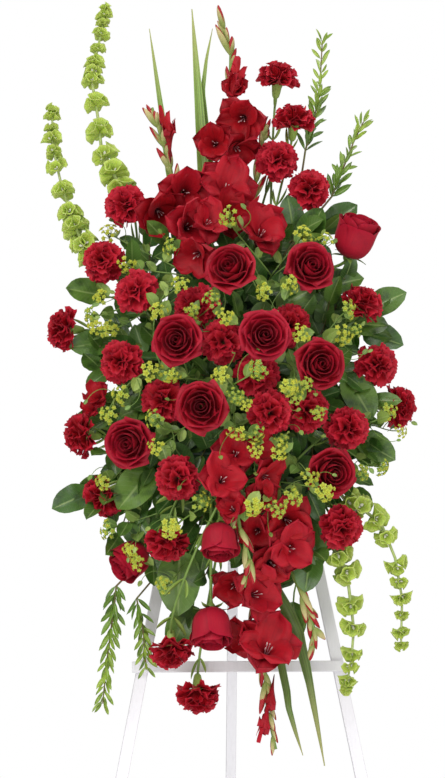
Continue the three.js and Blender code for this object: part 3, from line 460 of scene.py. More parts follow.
class Layout:
    """Where every stem, spike, bloom and leaf is, worked out in the order of the part's rule."""

    def __init__(self):
        self.slots = foam_slots()
        self.heads = []
        self.lines = []
        self.spikes = {}
        self.bunches = {}
        for way in (-1, 1):
            foot = np.array([CENTRE_X + way * SPLAY * APEX_HEIGHT, plane_y(0), 0])
            top = np.array([
                CENTRE_X + way * SPLAY * (APEX_HEIGHT - LEG_TOP), plane_y(LEG_TOP), LEG_TOP,
            ])
            self.heads.append(Head("leg", foot, 0))
            self.add_lines([foot, top], LEG_WIDTH * 0.75, "leg")
        for name, (path, whorls) in BELLS.items():
            self.lay_bells(name, path, whorls)
        for name, spike in GLADIOLI.items():
            self.lay_gladiolus(name, **spike)
        for name, (path, pairs) in MYRTLE.items():
            self.lay_myrtle(name, path, pairs)
        for name, blades in LEAF_BLADES.items():
            self.lay_blades(name, blades)
        kinds = ((ROSES, "rose"), (CARNATIONS, "carnation"), (UMBELS, "umbel"), (SALAL, "leaf"))
        for bunches, kind in kinds:
            self.gather(bunches, kind)
        self.settle()
        for head in self.heads:
            head.turn()
        for bunches, _ in kinds:
            for name in bunches:
                self.stem_bunch(name)

    def take_slot(self, target):
        def cost(slot):
            way = target - slot[0]
            far = norm(way)
            return far + TURN_COST * (1 - slot[1] @ way / far)

        best = min(range(len(self.slots)), key=lambda i: cost(self.slots[i]))
        return self.slots.pop(best)

    def add_lines(self, points, radius, owner):
        for a, b in zip(points[:-1], points[1:]):
            self.lines.append((a, b, radius, owner))

    def spike_line(self, path, per_span):
        points = [place(spot) for spot in path]
        mouth, out = self.take_slot(points[0])
        start = mouth + out * (ROOT_OUTSIDE - STEM_SINK)
        line = np.vstack([start, spline([start + out * LEAD, *points], per_span)])
        return mouth - out * ROOT_INSIDE, line, (1 + per_span) / (len(line) - 1)

    def lay_bells(self, name, path, whorls):
        root, line, bare = self.spike_line(path, 1)
        self.add_lines(line, SPIKE_RADIUS, name)
        for w in range(whorls):
            centre, along, _, _ = frame_on(line, bare + (1 - bare) * w / (whorls - WHORL_TOP))
            size = 1.05 - 0.6 * (w / whorls) ** 1.5
            self.heads.append(Head(name, centre + along * BELL_STAND * size, BELL_REACH * size))
        self.spikes[name] = {"root": root, "line": line, "bare": bare, "whorls": whorls}

    def lay_gladiolus(self, name, path, florets, buds):
        root, line, bare = self.spike_line(path, 1 if len(path) > 4 else 2)
        self.add_lines(line, SPIKE_RADIUS, name)
        for at in line[2:]:
            self.heads.append(Head(name, at, GLADIOLUS_JOINT))
        open_ones, closed = [], []
        for spot in florets:
            target, radius = place(spot), spot[3]
            base = min(line, key=lambda p: norm(p - target))
            way = unit(target - base)
            mouth = base + way * max(norm(target - base), radius * FLORET_STAND)
            face = unit(way * FLORET_WAY + FLORET_FACE)
            self.add_lines([base, mouth], radius * FLORET_TUBE, name)
            self.heads.append(Head(name, mouth, radius * FLORET_REACH))
            open_ones.append((base, mouth, face, radius))
        for spot in buds:
            tip = place(spot)
            base = min(line, key=lambda p: norm(p - tip))
            length = max(norm(tip - base) + BUD_PAST, BUD_SHORTEST)
            onward = line[-1] - base
            onward = onward / (norm(onward) or 1)
            way = unit(unit(tip - base) + onward * BUD_LEAN)
            self.add_lines([base, base + way * length], BUD_RADIUS, name)
            closed.append((base, way, length))
        self.spikes[name] = {
            "root": root, "line": line, "bare": bare, "florets": open_ones, "buds": closed,
        }

    def lay_myrtle(self, name, path, pairs):
        root, line, bare = self.spike_line(path, 1)
        self.add_lines(line, TWIG_RADIUS, name)
        for p in range(pairs):
            centre, along, _, _ = frame_on(line, bare + (1 - bare) * p / (pairs - 0.5))
            self.heads.append(Head(name, centre + along * MYRTLE_REACH, MYRTLE_REACH))
        self.spikes[name] = {"root": root, "line": line, "bare": bare, "pairs": pairs}

    def lay_blades(self, name, blades):
        target = (place(blades[0][0][0]) + place(blades[-1][0][0])) / 2
        mouth, out = self.take_slot(target)
        starts = bundle_starts(mouth, out, len(blades))
        laid = []
        for start, (path, half) in zip(starts, blades):
            points = [start + out * LEAD, *(place(spot) for spot in path)]
            line = np.vstack([start, spline(points, 2)])
            self.add_lines(line, half * 0.7, name)
            laid.append((line, half))
        self.spikes[name] = {"root": mouth - out * ROOT_INSIDE, "blades": laid}

    def gather(self, bunches, family):
        for name, spots in bunches.items():
            for spot in spots:
                kind = family
                way = spot[3] if len(spot) > 3 else None
                size = spot[4] if len(spot) > 4 else 1
                if kind == "leaf":
                    angle = radians(way)
                    way = (cos(angle), -0.3, sin(angle))
                elif kind == "rose" and way and unit(way)[1] > -CLOSED_TURN:
                    kind = "closed_rose"
                reach = KINDS[kind]["reach"] * size
                self.heads.append(Head(name, place(spot), reach, kind, size, way))

    def settle(self):
        """Pushes heads that stand in each other apart, more in depth than across."""
        for _ in range(SETTLE_ROUNDS):
            for i, one in enumerate(self.heads):
                near = self.heads[i + 1 :]
                if not near:
                    continue
                apart = np.array([two.at for two in near]) - one.at
                reach = np.array([two.reach for two in near]) + one.reach
                for k in np.nonzero((apart**2).sum(1) < (reach + SETTLE_NEAR) ** 2)[0]:
                    push_apart(one, near[k])

    def clearance(self, head):
        """How clear a stem is of what is laid, of the foam and of every head but its own."""
        laid = [line for line in self.lines if line[3] != head.name]
        ends = [np.array([line[i] for line in laid]) for i in (0, 1)]
        radii = np.array([line[2] for line in laid])
        others = [other for other in self.heads if other is not head]
        at = np.array([other.at for other in others])
        faces = np.array([other.face for other in others])
        guards = np.array([
            other.guard * (OWN_GUARD if other.name == head.name else 1) for other in others
        ])
        half = np.array([FOAM_HALF_WIDTH, FOAM_HALF_HEIGHT])

        def clear(path):
            least = 99
            for a, b in zip(path[:-1], path[1:]):
                least = min(least, (gaps(a, b, *ends) - radii).min() - STEM_RADIUS)
                least = min(least, (gaps(a, b, at, at + faces) - guards).min() - STEM_RADIUS)
                for share in FOAM_SHARES:
                    inside = HOLDER_TURN.T @ (a + (b - a) * share - HOLDER_AT)
                    room = half - np.abs(inside[[0, 2]])
                    least = min(least, -FOAM_CLEAR - min(FOAM_FRONT + inside[1], *room))
            return least

        return clear

    def stem_path(self, start, out, head, foot):
        """The first of a fan of curves that is clear enough, or else the clearest."""
        span = norm(foot - start)
        chord = unit(foot - start)
        side = square_to(chord)
        other = np.cross(chord, side)
        clear_of = self.clearance(head)
        best = None
        for level in range(BULGE_LEVELS):
            for k in range(BULGE_WAYS if level else 1):
                angle = k / BULGE_WAYS * TURN + level
                bulge = way_round(side, other, angle) * level * BULGE_STEP
                first = start + out * span * FOOT_SHARE + bulge
                second = foot - head.face * min(span * FOOT_SHARE, FOOT_LONGEST) + bulge
                points = bezier(start, first, second, foot, STEM_SHARES)
                clear = clear_of(points[1:])
                if best is None or clear > best[0]:
                    best = (clear, points, (start, first, second, foot))
                if clear > STEM_CLEAR:
                    return best
        return best

    def stem_bunch(self, name):
        own = [head for head in self.heads if head.name == name]
        mouth, out = self.take_slot(sum(head.at for head in own) / len(own))
        starts = bundle_starts(mouth, out, len(own))
        laid = []
        for start, head in zip(starts, own):
            foot = head.at - head.face * KINDS[head.kind]["back"] * head.size
            _, points, handles = self.stem_path(start, out, head, foot)
            self.add_lines(points, STEM_RADIUS, name)
            laid.append((head, foot, handles))
        self.bunches[name] = {"root": mouth - out * ROOT_INSIDE, "stems": laid}


@functools.cache
def layout():
    return Layout()


# Meshes

REAR_FOOT = next(mount for mount in frame["record"]["mounts"] if mount["name"] == "rear_foot")
SHIFT = np.array(REAR_FOOT["pos_m"]) - np.array([CENTRE_X, REAR_FOOT_Y, 0]) * MM
GOLDEN = pi * (3 - sqrt(5))
LEAF_FACE = unit((0, -1, 0.35))
UNTURNED = np.eye(3)
STEM_TINT = 0.5


def shown(name, data):
    """A new object in the scene."""
    made = bpy.data.objects.new(name, data)
    bpy.context.scene.collection.objects.link(made)
    return made


def in_frame(points):
    """Points of the easel's own coordinates, in the frame's metres."""
    return np.asarray(points, float) * MM + SHIFT


def turn_to(way, reference=None, spin=0.0):
    """The turn that points a pattern's Z along a way, with its X square to a reference."""
    way = unit(way)
    side = square_to(way, reference)
    basis = Matrix(np.array([side, np.cross(way, side), way]).T.tolist())
    return basis @ Matrix.Rotation(spin, 3, "Z")


def ramp(value, start, end):
    """Zero before the start, one after the end, and smooth between."""
    share = np.clip((value - start) / (end - start), 0, 1)
    return share * share * (3 - 2 * share)


def round_z(radius, angle, height):
    return radius * np.cos(angle), radius * np.sin(angle), height


def beside(radius, across, height, angle):
    """Points at a radius in one direction from Z, and so far across it."""
    x, y = cos(angle), sin(angle)
    return radius * x - across * y, radius * y + across * x, height


class Pattern:
    """Closed sheets and turned shapes, gathered into one mesh with a map and a tone."""

    def __init__(self):
        self.points, self.faces, self.maps, self.tones, self.rims = [], [], [], [], []
        self.count = 0

    def add(self, points, faces, uv, tone, rim=None):
        self.points.append(points)
        self.faces += [tuple(index + self.count for index in face) for face in faces]
        self.maps.append(uv)
        self.tones.append(np.full(len(points), tone))
        self.rims.append(np.zeros(len(points), bool) if rim is None else rim)
        self.count += len(points)
        return self

    def sheet(self, surface, rows, columns, thick, tone=0.5):
        """A thin closed sheet over a surface of across, -1 to 1, and along, 0 to 1."""
        along, across = np.meshgrid(
            np.linspace(0, 1, rows + 1), np.linspace(-1, 1, columns + 1), indexing="ij",
        )
        front = np.stack(np.broadcast_arrays(*surface(across, along)), axis=-1)
        normal = np.cross(np.gradient(front, axis=1), np.gradient(front, axis=0))
        normal /= np.maximum(norm(normal, axis=2, keepdims=True), 1e-9)
        back = (front - normal * thick)[1:-1, 1:-1]
        index = np.arange(along.size).reshape(along.shape)
        under = index.copy()
        under[1:-1, 1:-1] = along.size + np.arange(back.size // 3).reshape(back.shape[:2])
        uv = np.stack([(across + 1) / 2, along], axis=-1)
        faces = []
        for i in range(rows):
            for j in range(columns):
                faces.append((index[i, j], index[i, j + 1], index[i + 1, j + 1], index[i + 1, j]))
                faces.append((under[i, j], under[i + 1, j], under[i + 1, j + 1], under[i, j + 1]))
        rim = np.ones(along.shape, bool)
        rim[1:-1, 1:-1] = False
        return self.add(
            np.vstack([front.reshape(-1, 3), back.reshape(-1, 3)]), faces,
            np.vstack([uv.reshape(-1, 2), uv[1:-1, 1:-1].reshape(-1, 2)]), tone,
            np.append(rim.ravel(), np.zeros(back.size // 3, bool)),
        )

    def turned(self, profile, sides, tone=0.5, lobes=0, wave=0.0):
        """A closed shape turned about Z, with lobes where its profile's third value says so."""
        rings = profile[1:-1]
        angles = np.arange(sides) / sides * TURN
        points, uv = [(0, 0, profile[0][1])], [(0.5, 0)]
        for k, ring in enumerate(rings):
            swell = 1 + (ring[2] if len(ring) > 2 else 0) * wave * np.cos(lobes * angles)
            for angle, wide in zip(angles, swell):
                radius = ring[0] * wide
                points.append((radius * cos(angle), radius * sin(angle), ring[1]))
                uv.append((angle / TURN, (k + 1) / (len(profile) - 1)))
        points.append((0, 0, profile[-1][1]))
        uv.append((0.5, 1))
        faces = []
        last = len(points) - 1
        for j in range(sides):
            after = (j + 1) % sides
            faces.append((0, 1 + after, 1 + j))
            for k in range(len(rings) - 1):
                low, high = 1 + k * sides, 1 + (k + 1) * sides
                faces.append((low + j, low + after, high + after, high + j))
            top = 1 + (len(rings) - 1) * sides
            faces.append((top + j, top + after, last))
        return self.add(np.array(points, float), faces, np.array(uv, float), tone)

    def place(self, other, turn=UNTURNED, at=(0, 0, 0), grow=1.0, tone=None):
        """A copy of another pattern, turned and moved."""
        turn = np.array(turn)
        self.rims += other.rims
        for points, uv, tones in zip(other.points, other.maps, other.tones):
            moved = points * grow @ turn.T + np.asarray(at, float)
            self.points.append(moved)
            self.maps.append(uv)
            self.tones.append(tones if tone is None else np.full(len(points), tone))
        self.faces += [tuple(index + self.count for index in face) for face in other.faces]
        self.count += other.count

    def build(self, name, scale=MM):
        mesh = bpy.data.meshes.new(name)
        points = np.vstack(self.points) * scale
        mesh.from_pydata(points.tolist(), [], self.faces, shade_flat=False)
        corners = np.zeros(len(mesh.loops), dtype=np.int32)
        mesh.loops.foreach_get("vertex_index", corners)
        layer = mesh.uv_layers.new(name="UVMap")
        layer.data.foreach_set("uv", np.vstack(self.maps)[corners].ravel())
        ends = np.zeros(2 * len(mesh.edges), dtype=np.int32)
        mesh.edges.foreach_get("vertices", ends)
        rim = np.concatenate(self.rims)[ends.reshape(-1, 2)].all(axis=1)
        mesh.attributes.new("sharp_edge", "BOOLEAN", "EDGE").data.foreach_set("value", rim)
        tone = mesh.attributes.new("tone", "FLOAT", "POINT")
        tone.data.foreach_set("value", np.concatenate(self.tones))
        return bpy.data.objects.new(name, mesh)


def collection_of(name, patterns, scale=MM):
    """Keeps patterns in a collection outside the scene, in the order that they are picked in."""
    collection = bpy.data.collections.new(name)
    for index, pattern in enumerate(patterns):
        collection.objects.link(pattern.build(f"{name}_{index:02d}", scale))
    return collection


def clear(collection):
    for member in list(collection.objects):
        bpy.data.objects.remove(member)
    bpy.data.collections.remove(collection)


def points_object(name, at, edges, *attributes):
    """Points of the easel's own coordinates in the frame, with values for a node tree to read."""
    mesh = bpy.data.meshes.new(name)
    mesh.from_pydata(in_frame(at).tolist(), edges, [])
    for title, kind, values in attributes:
        key = "vector" if kind == "FLOAT_VECTOR" else "value"
        mesh.attributes.new(title, kind, "POINT").data.foreach_set(key, np.ravel(values))
    return bpy.data.objects.new(name, mesh)


class Places:
    """Points that patterns stand on: how each is turned, grown, picked and tinted."""

    def __init__(self, seed=0):
        self.random = np.random.default_rng(seed)
        self.at, self.turn, self.grow, self.pick, self.tint = [], [], [], [], []

    def add(self, at, turn, grow=1.0, pick=0, tint=None):
        self.at.append(np.asarray(at, float))
        self.turn.append(tuple(turn.to_euler()))
        self.grow.append((grow,) * 3 if np.isscalar(grow) else tuple(grow))
        self.pick.append(int(pick))
        self.tint.append(self.random.uniform(0, 1) if tint is None else tint)

    def spun(self, way):
        """The turn to a way with any spin about it."""
        return turn_to(way, spin=self.random.uniform(0, 6))

    def leaf(self, foot, way, front, wide, long, pick, tint=None):
        """A leaf by its foot, the ways that it points and faces, and its size in millimetres."""
        self.add(foot, turn_to(way, front), (wide * MM, wide * MM, long * MM), pick, tint)

    def build(self, name):
        return points_object(
            name, self.at, [], ("turn", "FLOAT_VECTOR", self.turn),
            ("grow", "FLOAT_VECTOR", self.grow), ("pick", "INT", np.array(self.pick, np.int32)),
            ("tint", "FLOAT", self.tint),
        )


class Stems:
    """Lines that stems follow, in the easel's millimetres, with a thickness at each point."""

    def __init__(self):
        self.at, self.edges, self.thick = [], [], []

    def add(self, line, start, end=None):
        first = len(self.at)
        self.at += list(line)
        self.edges += [(first + i, first + i + 1) for i in range(len(line) - 1)]
        self.thick += list(np.linspace(start, start if end is None else end, len(line)) * MM)

    def build(self, name):
        return points_object(
            name, self.at, self.edges, ("thick", "FLOAT", self.thick),
            ("tint", "FLOAT", [STEM_TINT] * len(self.at)),
        )


# Geometry node trees


class Nodes:
    """A node tree to which nodes are added with their settings, values and links."""

    def add(self, kind, inputs=None, **settings):
        node = self.tree.nodes.new(kind)
        for key, value in settings.items():
            setattr(node, key, value)
        for key, value in (inputs or {}).items():
            if isinstance(value, bpy.types.NodeSocket):
                self.tree.links.new(value, node.inputs[key])
            else:
                node.inputs[key].default_value = value
        return node


class Growth(Nodes):
    """A geometry node tree with named inputs, ending in real meshes with one material."""

    def __init__(self, name, inputs):
        self.tree = bpy.data.node_groups.new(name, "GeometryNodeTree")
        interface = self.tree.interface
        interface.new_socket("Geometry", in_out="INPUT", socket_type="NodeSocketGeometry")
        for title, kind, default in inputs:
            socket = interface.new_socket(title, in_out="INPUT", socket_type=kind)
            if default is not None:
                socket.default_value = default
        interface.new_socket("Geometry", in_out="OUTPUT", socket_type="NodeSocketGeometry")
        self.start = self.add("NodeGroupInput").outputs

    def named(self, title, kind="FLOAT"):
        node = self.add("GeometryNodeInputNamedAttribute", {"Name": title}, data_type=kind)
        return node.outputs["Attribute"]

    def finish(self, geometry):
        real = self.add("GeometryNodeRealizeInstances", {"Geometry": geometry})
        coated = self.add("GeometryNodeSetMaterial", {
            "Geometry": real.outputs["Geometry"], "Material": self.start["Finish"],
        })
        self.add("NodeGroupOutput", {"Geometry": coated.outputs["Geometry"]})
        return self.tree


@functools.cache
def set_out_tree():
    """Sets a collection's patterns on points."""
    tree = Growth("Spray set out", (
        ("Patterns", "NodeSocketCollection", None),
        ("Scale", "NodeSocketFloat", 1.0),
        ("Finish", "NodeSocketMaterial", None),
    ))
    patterns = tree.add("GeometryNodeCollectionInfo", {
        "Collection": tree.start["Patterns"], "Separate Children": True, "Reset Children": True,
    })
    turn = tree.add("FunctionNodeEulerToRotation", {"Euler": tree.named("turn", "FLOAT_VECTOR")})
    grow = tree.add("ShaderNodeVectorMath", {
        0: tree.named("grow", "FLOAT_VECTOR"), "Scale": tree.start["Scale"],
    }, operation="SCALE")
    standing = tree.add("GeometryNodeInstanceOnPoints", {
        "Points": tree.start["Geometry"], "Instance": patterns.outputs["Instances"],
        "Pick Instance": True, "Instance Index": tree.named("pick", "INT"),
        "Rotation": turn.outputs["Rotation"], "Scale": grow.outputs["Vector"],
    })
    return tree.finish(standing.outputs["Instances"])


@functools.cache
def stem_tree():
    """Runs a round stem along each line, as thick as its points say."""
    tree = Growth("Spray stems", (
        ("Sides", "NodeSocketInt", 8),
        ("Scale", "NodeSocketFloat", 1.0),
        ("Finish", "NodeSocketMaterial", None),
    ))
    lines = tree.add("GeometryNodeMeshToCurve", {"Mesh": tree.start["Geometry"]})
    thick = tree.add("ShaderNodeMath", {
        0: tree.named("thick"), 1: tree.start["Scale"],
    }, operation="MULTIPLY")
    section = tree.add("GeometryNodeCurvePrimitiveCircle", {
        "Resolution": tree.start["Sides"], "Radius": 1.0,
    })
    tube = tree.add("GeometryNodeCurveToMesh", {
        "Curve": lines.outputs["Curve"], "Profile Curve": section.outputs["Curve"],
        "Scale": thick.outputs["Value"], "Fill Caps": True,
    })
    return tree.finish(tube.outputs["Mesh"])


def grown(piece, tree, **inputs):
    """Runs a tree on a piece and keeps the result as its plain mesh."""
    bpy.context.scene.collection.objects.link(piece)
    modifier = piece.modifiers.new("Grow", "NODES")
    modifier.node_group = tree
    for socket in tree.interface.items_tree:
        if socket.in_out == "INPUT" and socket.name in inputs:
            modifier[socket.identifier] = inputs[socket.name]
    graph = bpy.context.evaluated_depsgraph_get()
    mesh = bpy.data.meshes.new_from_object(
        piece.evaluated_get(graph), preserve_all_data_layers=True, depsgraph=graph,
    )
    piece.modifiers.remove(modifier)
    piece.data = mesh
    mesh.name = piece.name
    if not mesh.polygons:
        raise RuntimeError(f"{piece.name} came out empty")
    return piece


def ride(piece, slot, *nodes, body=STAND):
    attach(piece, body)
    if nodes:
        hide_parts(*nodes)
    return piece


def set_out(name, places, patterns, finish, slot, *nodes):
    """One piece of patterns on places, riding on the stand."""
    piece = grown(places.build(name), set_out_tree(), Patterns=patterns, Finish=finish)
    return ride(piece, slot, *nodes)


def stem_piece(name, stems, finish, slot, sides=8):
    return ride(grown(stems.build(name), stem_tree(), Sides=sides, Finish=finish), slot)


def plain_piece(name, pattern, finish, slot, *nodes):
    """A piece whose pattern already stands in the frame's own metres."""
    piece = pattern.build(name, 1.0)
    bpy.context.scene.collection.objects.link(piece)
    piece.data.materials.append(finish)
    return ride(piece, slot, *nodes)


# Finishes


def linear(code):
    """A colour written as six hex digits, as the linear values that Blender's shaders take."""
    if not isinstance(code, str):
        return code
    values = [int(code[i : i + 2], 16) / 255 for i in (0, 2, 4)]
    return tuple(v / 12.92 if v <= 0.04045 else ((v + 0.055) / 1.055) ** 2.4 for v in values)


def shade(colour, factor):
    return tuple(min(1.0, value * factor) for value in linear(colour))


def between(one, two, share):
    return tuple(a + (b - a) * share for a, b in zip(linear(one), linear(two)))


class Finish(Nodes):
    """A procedural material that is built up in layers of colour and height."""

    def __init__(self, name, colour, roughness, **constants):
        self.material = bpy.data.materials.new(name)
        self.material.use_nodes = True
        self.tree = self.material.node_tree
        self.shader = self.tree.nodes["Principled BSDF"]
        self.shader.inputs["Roughness"].default_value = roughness
        for title, value in constants.items():
            self.shader.inputs[title.replace("_", " ")].default_value = value
        base = self.add("ShaderNodeRGB")
        base.outputs[0].default_value = (*linear(colour), 1)
        self.colour = base.outputs[0]
        self.height = None

    def math(self, operation, *values):
        node = self.add("ShaderNodeMath", dict(enumerate(values)), operation=operation)
        return node.outputs[0]

    def attribute(self, title):
        return self.add("ShaderNodeAttribute", attribute_name=title).outputs["Fac"]

    def spot(self, scale=(1, 1, 1), mapped=False):
        """Where on the piece, in its own metres or on its map, stretched by a scale."""
        if mapped:
            source = self.add("ShaderNodeUVMap", uv_map="UVMap").outputs["UV"]
        else:
            source = self.add("ShaderNodeTexCoord").outputs["Object"]
        return self.add("ShaderNodeMapping", {"Vector": source, "Scale": scale}).outputs["Vector"]

    def map_parts(self):
        source = self.add("ShaderNodeUVMap", uv_map="UVMap").outputs["UV"]
        parts = self.add("ShaderNodeSeparateXYZ", {"Vector": source}).outputs
        return parts["X"], parts["Y"]

    def noise(self, scale, detail=3.0, stretch=(1, 1, 1), mapped=False):
        where = self.spot(stretch, mapped)
        node = self.add("ShaderNodeTexNoise", {"Vector": where, "Scale": scale, "Detail": detail})
        return node.outputs["Fac"]

    def span(self, value, low, high):
        """A value's share of the way between two others, held between nought and one."""
        node = self.add("ShaderNodeMapRange", {"Value": value, "From Min": low, "From Max": high})
        return node.outputs["Result"]

    def lay(self, colour, share, much=None, blend="MIX"):
        """Lays a colour over what is there, by a share or by so much of it."""
        if much is not None:
            share = self.math("MULTIPLY", share, much)
        mixed = self.add("ShaderNodeMix", {0: share, 6: self.colour, 7: (*linear(colour), 1)},
                         data_type="RGBA", blend_type=blend)
        self.colour = mixed.outputs[2]

    def raise_by(self, value, much=None):
        if much is not None:
            value = self.math("MULTIPLY", value, much)
        self.height = value if self.height is None else self.math("ADD", self.height, value)

    def done(self, depth=0.0):
        """Joins the colour and, with a depth in metres, the height to the shader."""
        self.tree.links.new(self.colour, self.shader.inputs["Base Color"])
        if self.height is not None:
            bump = self.add("ShaderNodeBump", {
                "Height": self.height, "Distance": depth, "Strength": 1.0,
            })
            self.tree.links.new(bump.outputs["Normal"], self.shader.inputs["Normal"])
        return self.material


def petal_finish(name, colour, dark, light, share, sheen, edge=0.5):
    """Velvet petals with fine lines along them, painted shade at the base, in the heart and in
    random patches, and a painted highlight at the lip.
    """
    # The deep colour serves the petals' own dark lines and painted shade; the lip colour serves the
    # painted highlight at the lip, lighter blooms and lighter closed roses
    deep, lip = shade(colour, dark), between(colour, light, share)
    petal = Finish(
        name, colour, 0.55, Sheen_Weight=sheen, Sheen_Roughness=0.4,
        Sheen_Tint=(1.0, 0.25, 0.3, 1.0),
        Specular_IOR_Level=0.22, Subsurface_Weight=0.1, Subsurface_Radius=(1.0, 0.15, 0.1),
        Subsurface_Scale=0.003,
    )
    _, along = petal.map_parts()
    # Painted shade: darker towards the base of each petal, deep in the bloom
    petal.lay(deep, petal.span(along, 0.5, 0.05))
    # Painted highlight on the lip of each petal, as strong as the edge says
    petal.lay(lip, petal.span(along, 0.78, 1.0), edge)
    lines = petal.noise(26.0, 2.0, (1.0, 0.08, 1.0), mapped=True)
    petal.lay(deep, petal.span(lines, 0.5, 0.8), 0.3)
    # Darker where the tone is low: painted shade in the hearts of roses and carnations, and the
    # outer tepals of florets
    petal.lay(deep, petal.span(petal.attribute("tone"), 0.6, 0.1), 0.5)
    # Painted shade in random patches that stand for the petals' folds
    fold_shade = petal.noise(70.0, 2.0)
    petal.lay(deep, petal.span(fold_shade, 0.48, 0.72), 0.35)
    petal.lay(lip, petal.span(petal.attribute("tint"), 0.4, 1.0), 0.3)
    petal.lay(lip, petal.span(petal.attribute("tone"), 1.0, CLOSED_TONE), 0.32)
    petal.raise_by(lines, 0.6)
    petal.raise_by(petal.noise(900.0, 2.0), 0.25)
    return petal.done(0.0006)


LEAF_GLOW = {"Subsurface_Radius": (0.4, 1.0, 0.2), "Subsurface_Scale": 0.002}


def leaf_finish(name, colour, pale, vein, roughness, pitch, slant, clear=0.0):
    """A leaf with a pale midrib, side veins that slant forward, and a mottled blade."""
    leaf = Finish(
        name, colour, roughness, Coat_Weight=clear, Coat_Roughness=0.25,
        Subsurface_Weight=0.06, **LEAF_GLOW,
    )
    across, along = leaf.map_parts()
    aside = leaf.math("ABSOLUTE", leaf.math("SUBTRACT", across, 0.5))
    # Paler by the tint: at random for most leaves, while filling leaves deep in the spray take a
    # low one as painted shade
    leaf.lay(pale, leaf.attribute("tint"), 0.75)
    leaf.lay(shade(colour, 0.45), leaf.span(leaf.noise(45.0, 4.0), 0.47, 0.72))
    slanted = leaf.math("SUBTRACT", leaf.math("MULTIPLY", along, pitch),
                        leaf.math("MULTIPLY", aside, slant))
    wave = leaf.math("ABSOLUTE", leaf.math("SINE", slanted))
    side_vein = leaf.span(wave, 0.16, 0.0)
    leaf.lay(vein, side_vein, 0.22)
    leaf.lay(vein, leaf.span(aside, 0.045, 0.015), 0.45)
    leaf.raise_by(side_vein, -0.5)
    leaf.raise_by(leaf.noise(420.0, 3.0), 0.4)
    return leaf.done(0.0004)


def stem_finish(name, colour, other):
    """A ribbed green stem with a bloom that comes and goes along it."""
    stem = Finish(name, colour, 0.5)
    stem.lay(other, stem.span(stem.noise(35.0, 4.0), 0.4, 0.7))
    stem.lay(shade(colour, 0.6), stem.span(stem.noise(260.0, 3.0), 0.5, 0.8), 0.6)
    stem.raise_by(stem.noise(700.0, 2.0, (1, 1, 0.12)))
    return stem.done(0.0004)


# Flowers and leaves, as patterns that grow along +Z, in millimetres unless said otherwise

# How many kinds of each shape there are, which kind is closed, and the steps of each sheet
ROSE_KINDS = 3
CLOSED_ROSE = 3
CARNATION_KINDS = 4
UMBEL_KINDS = 3
LEAF_KINDS = 4
MYRTLE_KINDS = 3
FLORET_SPREADS = (0.95, 0.6, 1.1, 0.3, 0.8)
HALF_OPEN_FLORET = 3
ROSE_GRID = (10, 9)
CARNATION_GRID = (5, 14)
FLORET_GRID = (12, 12)
TUBE_STEPS = 8
THIN = 0.5

# Sizes of roses, carnations and umbels
ROSE_BASE = -12
CLOSED_BASE = -29
CARNATION_PETALS = 26
DOME_ACROSS = 34
DOME_HIGH = 26
DOME_FOOT = -8
UMBEL_HEADS = 11
RAY_FOOT = (0, 0, -14)
RAY_PITCH = 4.2
HEAD_FLORETS = 8
GRAIN_PITCH = 0.98

# Leaves, the joints where slim ones sit, and the least and most length of small ones
SALAL_WIDTH = 44
SALAL_LENGTH = 65
MYRTLE_LONG = 30
MYRTLE_SHRINK = 9
STEM_JOINTS = (0.45, 0.66, 0.86)
NARROW_LENGTHS = (26, 44)
ROUND_LENGTHS = (17, 30)
SPRIG_LENGTHS = (34, 50)
COLLAR_LENGTHS = (36, 56)

# Gladioli: florets and buds against the frame's, then the ranks of buds at the top of a stalk
FLORET_DEPTH = 0.95
FLORET_OVERLAP = 1.17
BUD_LONG = 1.25
BUD_ONWARD = 1.8
BUDS_FROM = 0.42
BUD_PITCH = 19
TOP_BUD_LONG = 50
TOP_BUD_SHRINK = 22
TOP_BUD_PAST = 16
TOP_BUD_WIDE = 4.9
TOP_BUD_TAPER = 1.8
# Blooms at the left edge: across, height and distance in front, size, and which kind of floret
SIDE_BLOOMS = [((-228, 1096, 112), 20, 1), ((-238, 1078, 106), 16, 3)]
SIDE_FACE = (-0.55, -0.75, 0.35)
SIDE_BACK = 34
SIDE_STALK = 1.8
# Florets that are only half open: their foot and tip, and how wide their mouth is
HALF_OPEN = {
    "gladiolus_left": [((-108, 1446, 75), (-112, 1500, 75), 13)],
    "gladiolus_tall": [((-20, 1532, 72), (-6, 1578, 72), 14)],
    "gladiolus_low": [((42, 678, 66), (36, 640, 66), 10), ((36, 644, 66), (26, 606, 66), 10)],
}

# Radii of stems, and of stalks at their foot and tip
ROSE_STEM = 2.4
CARNATION_STEM = 1.9
UMBEL_STEM = 1.2
SALAL_STEM = 1.3
GLADIOLUS_STALK = (4.2, 2.0)
BELL_STALK = (3.6, 1.6)
MYRTLE_TWIG = (2.2, 1.0)
SPRIG_TWIG = (1.6, 0.9)


# A rose's layers from its heart out: petals, reach, belly, height, half width, and roll of the lip
ROSE_LAYERS = (
    (4, 3.0, 5.5, 16.0, 7.5, 0.6),
    (5, 7.0, 10.0, 18.5, 12.0, 1.2),
    (5, 12.5, 16.0, 19.0, 16.5, 2.0),
    (5, 19.5, 22.0, 17.0, 21.0, 3.0),
    (5, 26.5, 27.0, 12.5, 25.5, 4.2),
    (5, 32.5, 29.5, 5.0, 28.0, 5.0),
)
CLOSED_LAYERS = (
    (3, 4.0, 6.0, 27.0, 8.0, 0.5),
    (4, 9.0, 12.0, 29.0, 12.0, 1.0),
    (4, 15.0, 18.0, 30.5, 18.0, 1.8),
    (4, 21.0, 24.0, 30.0, 24.0, 3.2),
    (4, 26.5, 27.5, 26.0, 29.0, 5.0),
)
# How light the lips of closed roses are, and how low the tone of every bloom's heart is, which the
# petal finish darkens as painted shade; 1 is an open lip
CLOSED_TONE = 1.4
HEART_SHADE_TONE = 0.35


